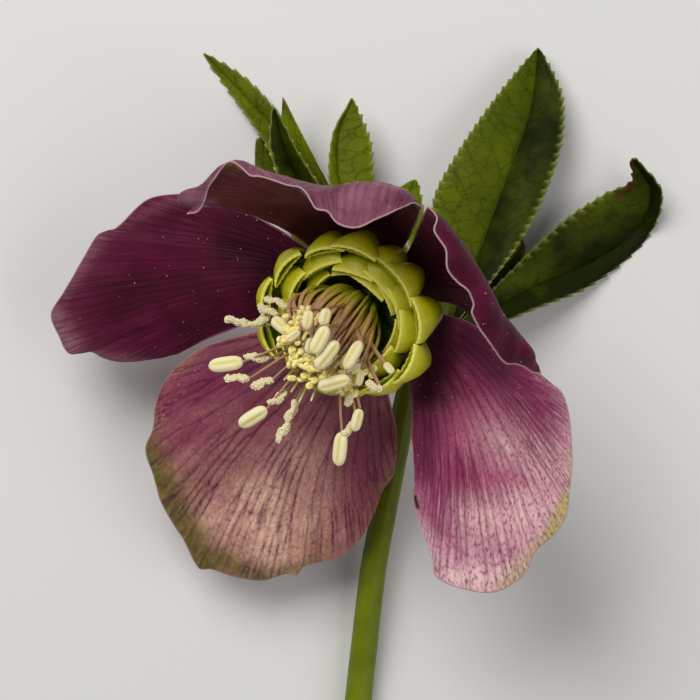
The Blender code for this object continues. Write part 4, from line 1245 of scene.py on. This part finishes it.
def spent_anther(back, ahead, length, width, seed):
    """Opened anther: a shrunken, twisted strip crusted with pollen."""
    draw = random.Random(seed)
    side = unit(np.cross(ahead, (0.0, 0.0, 1.0)))
    upward = np.cross(side, ahead)
    bow = draw.uniform(-0.35, 0.35)
    path, sides, widths, depths = [], [], [], []
    for t in np.linspace(0.0, 1.0, SPENT_RINGS):
        sway = side * (bow * math.sin(math.pi * t) + 0.1 * math.sin(t * 11.0 + seed))
        path.append(back + ahead * length * t + sway)
        turn = 0.9 * math.sin(t * 4.0 + seed)
        sides.append(side * math.cos(turn) + upward * math.sin(turn))
        end = (1.0 - abs(2 * t - 1) ** 5) ** 0.5
        lump = 1.0 + 0.1 * math.sin(t * 9.0 + seed * 2.3) + draw.uniform(-0.04, 0.04)
        widths.append(max(width * SPENT_WIDTH * end * lump, 0.06))
        depths.append(max(width * SPENT_THICK * end * lump, 0.05))
    rings = tube_rings(path, widths, depths, np.array(sides), SPENT_SIDES)
    # Lumps about 0.35 mm across
    lumps = noise_grid(rings, 0.35, 0)[..., None]
    return loft(rings + (rings - np.array(path)[:, None]) * lumps * 0.16)


def filament_tree():
    """Flat ribbons along lines, as wide as their taper says."""
    tree, add, given = growth_tree("filament growth", Radius="Float", Flat="Float",
                                   Sides="Int")
    curve = add("GeometryNodeMeshToCurve", {0: given["Geometry"]})
    ring = add("GeometryNodeCurvePrimitiveCircle",
               {"Resolution": given["Sides"], "Radius": given["Radius"]})
    press = add("ShaderNodeCombineXYZ", {0: given["Flat"], 1: 1.0, 2: 1.0})
    ring = add("GeometryNodeTransform", {"Geometry": ring, "Scale": press})
    taper = add("GeometryNodeInputNamedAttribute", {0: "taper"}, data_type="FLOAT")
    tubes = add("GeometryNodeCurveToMesh",
                {"Curve": curve, "Profile Curve": ring, "Scale": taper, "Fill Caps": True})
    end_growth(add, tubes, given)
    return tree


def line_source(lines, taper):
    """Separate lines as edges, with a taper and the share of the way at each point."""
    points, edges, start = [], [], 0
    for line in lines:
        points.append(line)
        edges += [(start + k, start + k + 1) for k in range(len(line) - 1)]
        start += len(line)
    share = np.linspace(0.0, 1.0, len(lines[0]))
    values = {"taper": np.tile(taper, len(lines)), "share": np.tile(share, len(lines))}
    return in_scene("lines", marked_mesh("lines", np.concatenate(points), edges, [], values))


def soft_tissue(name, stops, wave, roughness, relief=0.2, patchy=0.7, middle=0.5, cells=0.0,
                gloss=0.2):
    """Soft tissue whose tone runs along "share", with patches about wave mm wide.

    The relief is that of the patches, or of so many cells in a mm.
    """
    material, add, solid = new_skin(name)
    share = add("ShaderNodeAttribute", out="Fac", attribute_name="share")
    patch = add("ShaderNodeTexNoise", {"Vector": solid, "Scale": 1000.0 / wave, "Detail": 3.0})
    level = add("ShaderNodeMath", {0: patch, 1: -middle}, operation="ADD")
    level = add("ShaderNodeMath", {0: level, 1: patchy, 2: share}, operation="MULTIPLY_ADD",
                use_clamp=True)
    ramp = add("ShaderNodeValToRGB", {0: level})
    colours = ramp.node.color_ramp
    for element, (at, code) in zip(colours.elements, (stops[0], stops[-1])):
        element.position, element.color = at, linear(code)
    for at, code in stops[1:-1]:
        colours.elements.new(at).color = linear(code)
    if cells:
        patch = add("ShaderNodeTexNoise", {"Vector": solid, "Scale": 1000.0 * cells})
    return finish_skin(material, ramp, patch, relief, Roughness=roughness,
                       Specular_IOR_Level=gloss)


class SepalSettings(bpy.types.PropertyGroup):
    thickness: FloatProperty(name="Thickness", unit="LENGTH", default=0.0005,
                             description="Thickness of a sepal near its base")
    margin: FloatProperty(name="Margin thickness", unit="LENGTH", default=0.00022,
                          description="Thickness of a sepal at its free margin")
    vein_relief: FloatProperty(name="Vein relief", unit="LENGTH", default=0.00005,
                               description="How deep the veins lie in the upper face")
    pucker: FloatProperty(name="Pucker", unit="LENGTH", default=0.0004,
                          description="Height of the gentle waves between the veins")
    trunks: IntProperty(name="Main veins", default=9, min=1,
                        description="Veins that leave the base of a sepal")
    columns: IntProperty(name="Columns", default=200, min=20,
                         description="Mesh columns from side to side")
    rows: IntProperty(name="Rows", default=120, min=10,
                      description="Mesh rows from base to margin")
    margin_tone: FloatVectorProperty(name="Margin colour", subtype="COLOR", size=4, min=0.0,
                                     max=1.0, default=linear("c9a8a6"),
                                     description="Colour of the thin pale margin")
    specks: IntProperty(name="Pollen specks", default=46, min=0,
                        description="Specks of fallen pollen on each sepal")


class BractSettings(bpy.types.PropertyGroup):
    tooth_steps: IntProperty(name="Steps in a tooth", default=6, min=2,
                             description="Mesh rows in each small tooth")
    lobe_columns: IntProperty(name="Columns", default=45, min=5,
                              description="Mesh columns from edge to edge of a lobe")


class CentreSettings(bpy.types.PropertyGroup):
    filament: FloatProperty(name="Filament half width", unit="LENGTH", default=0.00042,
                            description="Half width of a stamen's flat filament")
    flat: FloatProperty(name="Filament flatness", default=0.55, min=0.1, max=1.0,
                        description="Thickness of a filament as a share of its width")
    style: FloatProperty(name="Style radius", unit="LENGTH", default=0.0003,
                         description="Radius of a style")
    arching: IntProperty(name="Arching filaments", default=56, min=0,
                         description="Fine filaments that arch over the middle")
    young: IntProperty(name="Young anthers", default=330, min=0,
                       description="Small anthers crowded in the middle")
    pollen: FloatProperty(name="Pollen density", default=1.2e7, min=0.0,
                          description="Grains on a square metre of an opened anther")


class StageSettings(bpy.types.PropertyGroup):
    floor: FloatVectorProperty(name="Floor colour", subtype="COLOR", size=4, min=0.0,
                               max=1.0, default=linear("dcdad6"),
                               description="Colour of the pale floor")
    floor_size: FloatProperty(name="Floor size", unit="LENGTH", default=1.6,
                              description="Side of the square floor")


class HELLEBORE_OT_sepals(bpy.types.Operator):
    """Build the five sepals and the pollen that has fallen on them"""
    bl_idname = "hellebore.sepals"
    bl_label = "Sepals"

    def execute(self, context):
        settings = context.scene.hellebore_sepals
        draw = random.Random(SPECK_SEED)
        specks = []
        for seed, name in enumerate(SEPALS, start=3):
            points, faces, values, place = build_sepal(name, settings, seed)
            material = sepal_material(name.replace("_", " ") + " tissue",
                                      sepal_tones(name), settings)
            piece = new_piece(name.replace("sepal_", "") + "_sepal", points, faces, material,
                              values, place)
            belongs(piece, "sepal_rose" if "lower" in name else "sepal_plum", name)
            for _ in range(settings.specks):
                # On whichever face is uppermost there
                row = int(settings.rows * draw.uniform(*SPECK_ROWS))
                at = row * settings.columns + draw.randrange(3, settings.columns - 3)
                under = at + settings.rows * settings.columns
                top = max((points[at], points[under]), key=lambda p: p[2])
                size = draw.uniform(*SPECK_SIZES) * draw.uniform(*SPECK_SHARES)
                specks.append((top, (1.0, 0.0, 0.0), (0.0, 0.0, 1.0), (size,) * 3))
        # Dry pollen: dull cream grains that look like fine pale dots
        dust = soft_tissue("dry pollen grains", ((0.0, "d8c8a4"), (1.0, "f2e8d0")), 0.5, 0.8)
        piece = copies_of("fallen_pollen", grain_body(), specks, dust, 3.0, 9)
        belongs(piece, "anther_cream")
        return {"FINISHED"}


class HELLEBORE_OT_bracts(bpy.types.Operator):
    """Build the three toothed bracts behind the flower"""
    bl_idname = "hellebore.bracts"
    bl_label = "Bracts"

    def execute(self, context):
        settings = context.scene.hellebore_bracts
        material = bract_material()
        # The root is plain: no veins or teeth, and well away from any edge
        labels = {"vein": 0.0, "edge": 5.0, "tone": 0.4, "tooth": 0.0, "brown": 0.0}
        for seed, (name, (clasp, lobes)) in enumerate(BRACTS.items(), start=41):
            bodies, places = [], []
            marks = {label: [] for label in labels}
            for k, (lobe, tones) in enumerate(zip(lobes, LOBE_LIGHT_AND_SHADE[name])):
                points, faces, values, place = build_lobe(lobe, tones, settings, seed + 5 * k)
                bodies.append((points, faces))
                places.append(place)
                for label in marks:
                    marks[label].append(values[label])
            root = bract_root(clasp)
            bodies.append(root)
            places.append(np.zeros((len(root[0]), 2)))
            for label, plain in labels.items():
                marks[label].append(np.full(len(root[0]), plain))
            points, faces = joined(bodies)
            values = {label: np.concatenate(parts) for label, parts in marks.items()}
            piece = new_piece(name.replace("bract_", "") + "_bract", points, faces, material,
                              values, np.concatenate(places))
            belongs(piece, "bract_green", name)
        return {"FINISHED"}


class HELLEBORE_OT_stem(bpy.types.Operator):
    """Build the stem, the nodding stalk and the receptacle"""
    bl_idname = "hellebore.stem"
    bl_label = "Stem"

    def execute(self, context):
        knots = [(*low_spot(*point[:3]), point[3]) for point in STEM_PATH]
        knots += [(*(CENTRE + AXIS * rise), radius) for rise, radius in STEM_HEAD]
        knots = np.array(knots)
        read = smooth_at(knots, chord_knots(knots[:, :3]), np.linspace(0.0, 1.0, STEM_RINGS))
        path, radii = read[:, :3], read[:, 3]
        along = units(np.gradient(path, axis=0))
        # The ridges run on without a twist
        side = [np.array((1.0, 0.1, 0.0))]
        for step in along:
            side.append(unit(side[-1] - step * (side[-1] @ step)))
        rings = tube_rings(path, radii, radii, np.array(side[1:]), STEM_SIDES)
        # Faint ridges run down the stem
        turn = np.linspace(0.0, 2 * math.pi, STEM_SIDES, endpoint=False)
        ridge = 1.0 + 0.018 * np.cos(turn * 9.0) + 0.01 * np.cos(turn * 4.0 + 1.0)
        rings = path[:, None] + (rings - path[:, None]) * ridge[None, :, None]
        rings[..., 2] = np.maximum(rings[..., 2], 0.0)
        points, faces = loft(rings)
        # Lightest at the cut end
        share = np.repeat(np.linspace(0.75, 0.15, STEM_RINGS), STEM_SIDES)
        # Fresh stalk: smooth satin skin, so long soft highlights
        skin = soft_tissue("smooth green stem", ((0.0, "434a06"), (0.4, "5c6602"),
                                                 (1.0, "7c8c02")), 4.0, 0.42)
        piece = new_piece("flower_stem", points, faces, skin, {"share": share})
        belongs(piece, "stem_green", "stem")
        return {"FINISHED"}


class HELLEBORE_OT_nectaries(bpy.types.Operator):
    """Build the rows of nectaries on their collar"""
    bl_idname = "hellebore.nectaries"
    bl_label = "Nectaries"

    def execute(self, context):
        spots = []
        for azimuth, reach, rise, width, lean in nectary_draws():
            out = ring_direction(azimuth + math.degrees(lean / reach))
            spots.append((CENTRE, out, AXIS,
                          (reach / POUCH_REACH, width / POUCH_WIDTH, rise / POUCH_RISE)))
        # Nectary: juicy satin green, yellow where it thins towards the lip; its darkest stops
        # are painted shade low on the pouch and in the mouth, its brightest a painted
        # highlight on the lip
        tissue = soft_tissue("juicy nectary tissue",
                             ((0.1 / LIP_SHARE, "263a04"), (0.35, "425a02"), (0.55, "6c8002"),
                              (0.7, "9a9e04"), (0.8, "c2be14"), (0.9, "f6ee64")), 2.0, 0.34,
                             patchy=0.14 / LIP_SHARE, middle=0.0, cells=4.5, gloss=0.32)
        outer = NECTARY_ROWS[0][0]
        for name, hood, row, nodes in (
                ("nectary_pouches", OUTER_HOOD, spots[:outer], ("nectaries",)),
                ("inner_nectary_pouches", INNER_HOOD, spots[outer:], ())):
            piece = copies_of(name, pouch_body(hood), row, tissue, 0.0, 1)
            belongs(piece, "nectary_green", *nodes)
        # The collar is a tenth narrower at its two rims
        rises = np.linspace(COLLAR_LOW, COLLAR_HIGH, COLLAR_RINGS)
        radii = COLLAR_RADIUS * (1.0 - 0.1 * np.abs(np.linspace(-1.0, 1.0, COLLAR_RINGS)))
        rings = tube_rings([CENTRE + AXIS * a for a in rises], radii, radii,
                           ring_direction(0.0), COLLAR_SIDES)
        collar = new_piece("nectary_collar", *loft(rings), tissue)
        belongs(collar, "nectary_green")
        return {"FINISHED"}


class HELLEBORE_OT_stamens(bpy.types.Operator):
    """Build the stamens and the styles"""
    bl_idname = "hellebore.stamens"
    bl_label = "Stamens and styles"

    def execute(self, context):
        settings = context.scene.hellebore_centre
        stamens = stamen_paths()
        fine, heads = young_stamens(settings)
        # Filament: flat, translucent stalk, yellow-green below and pinkish brown above
        stalk = soft_tissue("pale filament",
                            ((0.0, "748406"), (0.34, "aaa814"), (0.5, "bea044"),
                             (0.68, "b88e64"), (1.0, "ae8468")), 1.2, 0.5)
        lines = [line for line, *_ in stamens] + fine
        taper = np.linspace(1.0, 0.7, LINE_POINTS)
        filaments = grown("stamen_filaments", line_source(lines, taper), filament_tree(),
                          {"Material": stalk, "Radius": settings.filament,
                           "Flat": settings.flat, "Sides": 8})
        belongs(filaments, "anther_cream", "stamens")

        # Anther: velvety cream sacs, yellower in the groove between them
        cream = soft_tissue("cream anther",
                            ((0.0, "ece1b2"), (0.35, "e6da9c"), (1.0, "d6ca78")), 0.35, 0.6,
                            0.35)
        # Young anthers are still closed and yellower
        fresh = soft_tissue("yellow young anther", ((0.0, "f6e89c"), (1.0, "dfca52")), 0.8,
                            0.5, 0.2)
        spots, crusts = [], []
        for k, (_, back, ahead, length, width) in enumerate(stamens):
            if width >= PLUMP_WIDTH:
                slim, short = width * PLUMP_SLIM, length * PLUMP_SHORT
                spots.append((back + ahead * (length - short) / 2, ahead, upright(ahead),
                              (short, slim, slim)))
            elif length > ARCH_ANTHER[0]:
                crusts.append(spent_anther(back, ahead, length, width, k + 0.4))
            else:
                slim = width * ARCH_SLIM
                spots.append((back, ahead, upright(ahead), (length, slim, slim)))
        for name, body, places, skin, twist, seed in (
                ("stamen_anthers", anther_body(28, 19), spots, cream, 0.6, 4),
                ("young_anthers", anther_body(12, 8), heads, fresh, 1.2, 6)):
            belongs(copies_of(name, body, places, skin, twist, seed), "anther_cream")

        # Opened anther: dry, paler wall that curls back under its pollen
        wall = soft_tissue("opened anther wall", ((0.0, "d8cc9c"), (1.0, "efe6c4")), 0.3, 0.8,
                           0.5)
        shrunk = new_piece("opened_anthers", *joined(crusts), wall)
        belongs(shrunk, "anther_cream")
        # Fresh pollen: sticky cream grains that scatter light, drawn a few times too big
        dust = soft_tissue("sticky pollen grains", ((0.0, "efe4bc"), (1.0, "faf3dc")), 0.4,
                           0.7)
        grain = new_piece("grain_form", *grain_body(), None)
        pollen = grown("anther_pollen", in_scene("cover", shrunk.data.copy()), pollen_tree(),
                       {"Grain": grain, "Material": dust, "Density": settings.pollen,
                        "Seed": 3})
        bpy.data.objects.remove(grain, do_unlink=True)
        belongs(pollen, "anther_cream")

        # Style: waxy olive rod with a paler sticky tip
        wax = soft_tissue("olive style",
                          ((0.0, "6c6c14"), (0.5, "74741a"), (0.94, "8a8434"),
                           (1.0, "d8d0a0")), 1.5, 0.45, 0.2, 0.12)
        lines = []
        foot = CENTRE + AXIS * DOME_MIDDLE
        for place in STYLES:
            tip = spot(*place)
            bend = foot + AXIS * np.linalg.norm(tip - foot) * STYLE_BEND
            lines.append(bowed(foot, bend, tip))
        # Thick below, a slender neck and a fine tip
        taper = np.interp(np.linspace(0.0, 1.0, LINE_POINTS), (0.0, 0.25, 0.5, 0.92, 1.0),
                          (1.7, 1.9, 1.0, 0.75, 0.4))
        styles = grown("flower_styles", line_source(lines, taper), filament_tree(),
                       {"Material": wax, "Radius": settings.style, "Flat": 1.0,
                        "Sides": 12})
        belongs(styles, "nectary_green")
        return {"FINISHED"}


class HELLEBORE_OT_stage(bpy.types.Operator):
    """Set the pale floor, the soft lights and the camera"""
    bl_idname = "hellebore.stage"
    bl_label = "Stage"

    def execute(self, context):
        settings = context.scene.hellebore_stage
        half = settings.floor_size / 2 / MM
        corners = [(-half, -half, 0.0), (half, -half, 0.0), (half, half, 0.0),
                   (-half, half, 0.0)]
        mesh = marked_mesh("studio_floor", corners, [], [(0, 1, 2, 3)], {})
        floor = in_scene("studio_floor", mesh)
        # Matt board: a plain pale ground with no gloss
        material = bpy.data.materials.new("matt studio board")
        material.use_nodes = True
        shader = material.node_tree.nodes["Principled BSDF"]
        shader.inputs["Base Color"].default_value = tuple(settings.floor)
        shader.inputs["Roughness"].default_value = 0.9
        mesh.materials.append(material)
        for name, place, size, power in (("key", (-0.22, 0.34, 0.5), 0.4, 3.3),
                                         ("fill", (0.45, -0.1, 0.5), 0.5, 1.3)):
            light = bpy.data.lights.new(name, "AREA")
            light.energy = power
            light.size = size
            lamp = in_scene(name, light)
            lamp.location = place
            aim = Vector((0.0, 0.0, 0.02)) - Vector(place)
            lamp.rotation_euler = aim.to_track_quat("-Z", "Y").to_euler()
        world = bpy.data.worlds.new("studio air")
        world.use_nodes = True
        sky = world.node_tree.nodes["Background"].inputs
        sky["Color"].default_value = linear("f0f1f2")
        sky["Strength"].default_value = 0.27
        context.scene.world = world
        context.scene.view_settings.view_transform = "Standard"
        camera = bpy.data.cameras.new("camera")
        camera.sensor_width = 36.0
        camera.lens = 135.0
        eye = in_scene("camera", camera)
        eye.location = (CENTRE_SHIFT[0] * MM, CENTRE_SHIFT[1] * MM,
                        (RECEPTACLE_HEIGHT + EYE_HEIGHT) * MM)
        context.scene.camera = eye
        return {"FINISHED"}


class HELLEBORE_PT_parts(bpy.types.Panel):
    """Lists the steps that build the flower"""
    bl_label = "Hellebore"
    bl_idname = "HELLEBORE_PT_parts"
    bl_space_type = "VIEW_3D"
    bl_region_type = "UI"
    bl_category = "Hellebore"

    def draw(self, context):
        for step in STEPS:
            self.layout.operator(step.bl_idname)
        for group in GROUPS:
            settings = getattr(context.scene, group)
            for key in settings.bl_rna.properties.keys():
                if key not in ("name", "rna_type"):
                    self.layout.prop(settings, key)


STEPS = (HELLEBORE_OT_sepals, HELLEBORE_OT_bracts, HELLEBORE_OT_stem,
         HELLEBORE_OT_nectaries, HELLEBORE_OT_stamens, HELLEBORE_OT_stage)
GROUPS = {
    "hellebore_sepals": SepalSettings,
    "hellebore_bracts": BractSettings,
    "hellebore_centre": CentreSettings,
    "hellebore_stage": StageSettings,
}


def register():
    for group in GROUPS.values():
        bpy.utils.register_class(group)
    for name, group in GROUPS.items():
        setattr(bpy.types.Scene, name, PointerProperty(type=group))
    for step in (*STEPS, HELLEBORE_PT_parts):
        bpy.utils.register_class(step)


def unregister():
    for step in (HELLEBORE_PT_parts, *reversed(STEPS)):
        bpy.utils.unregister_class(step)
    for name, group in reversed(GROUPS.items()):
        delattr(bpy.types.Scene, name)
        bpy.utils.unregister_class(group)


def main():
    register()
    bpy.ops.hellebore.sepals()
    bpy.ops.hellebore.bracts()
    bpy.ops.hellebore.stem()
    bpy.ops.hellebore.nectaries()
    bpy.ops.hellebore.stamens()
    bpy.ops.hellebore.stage()


if __name__ == "__main__":
    main()
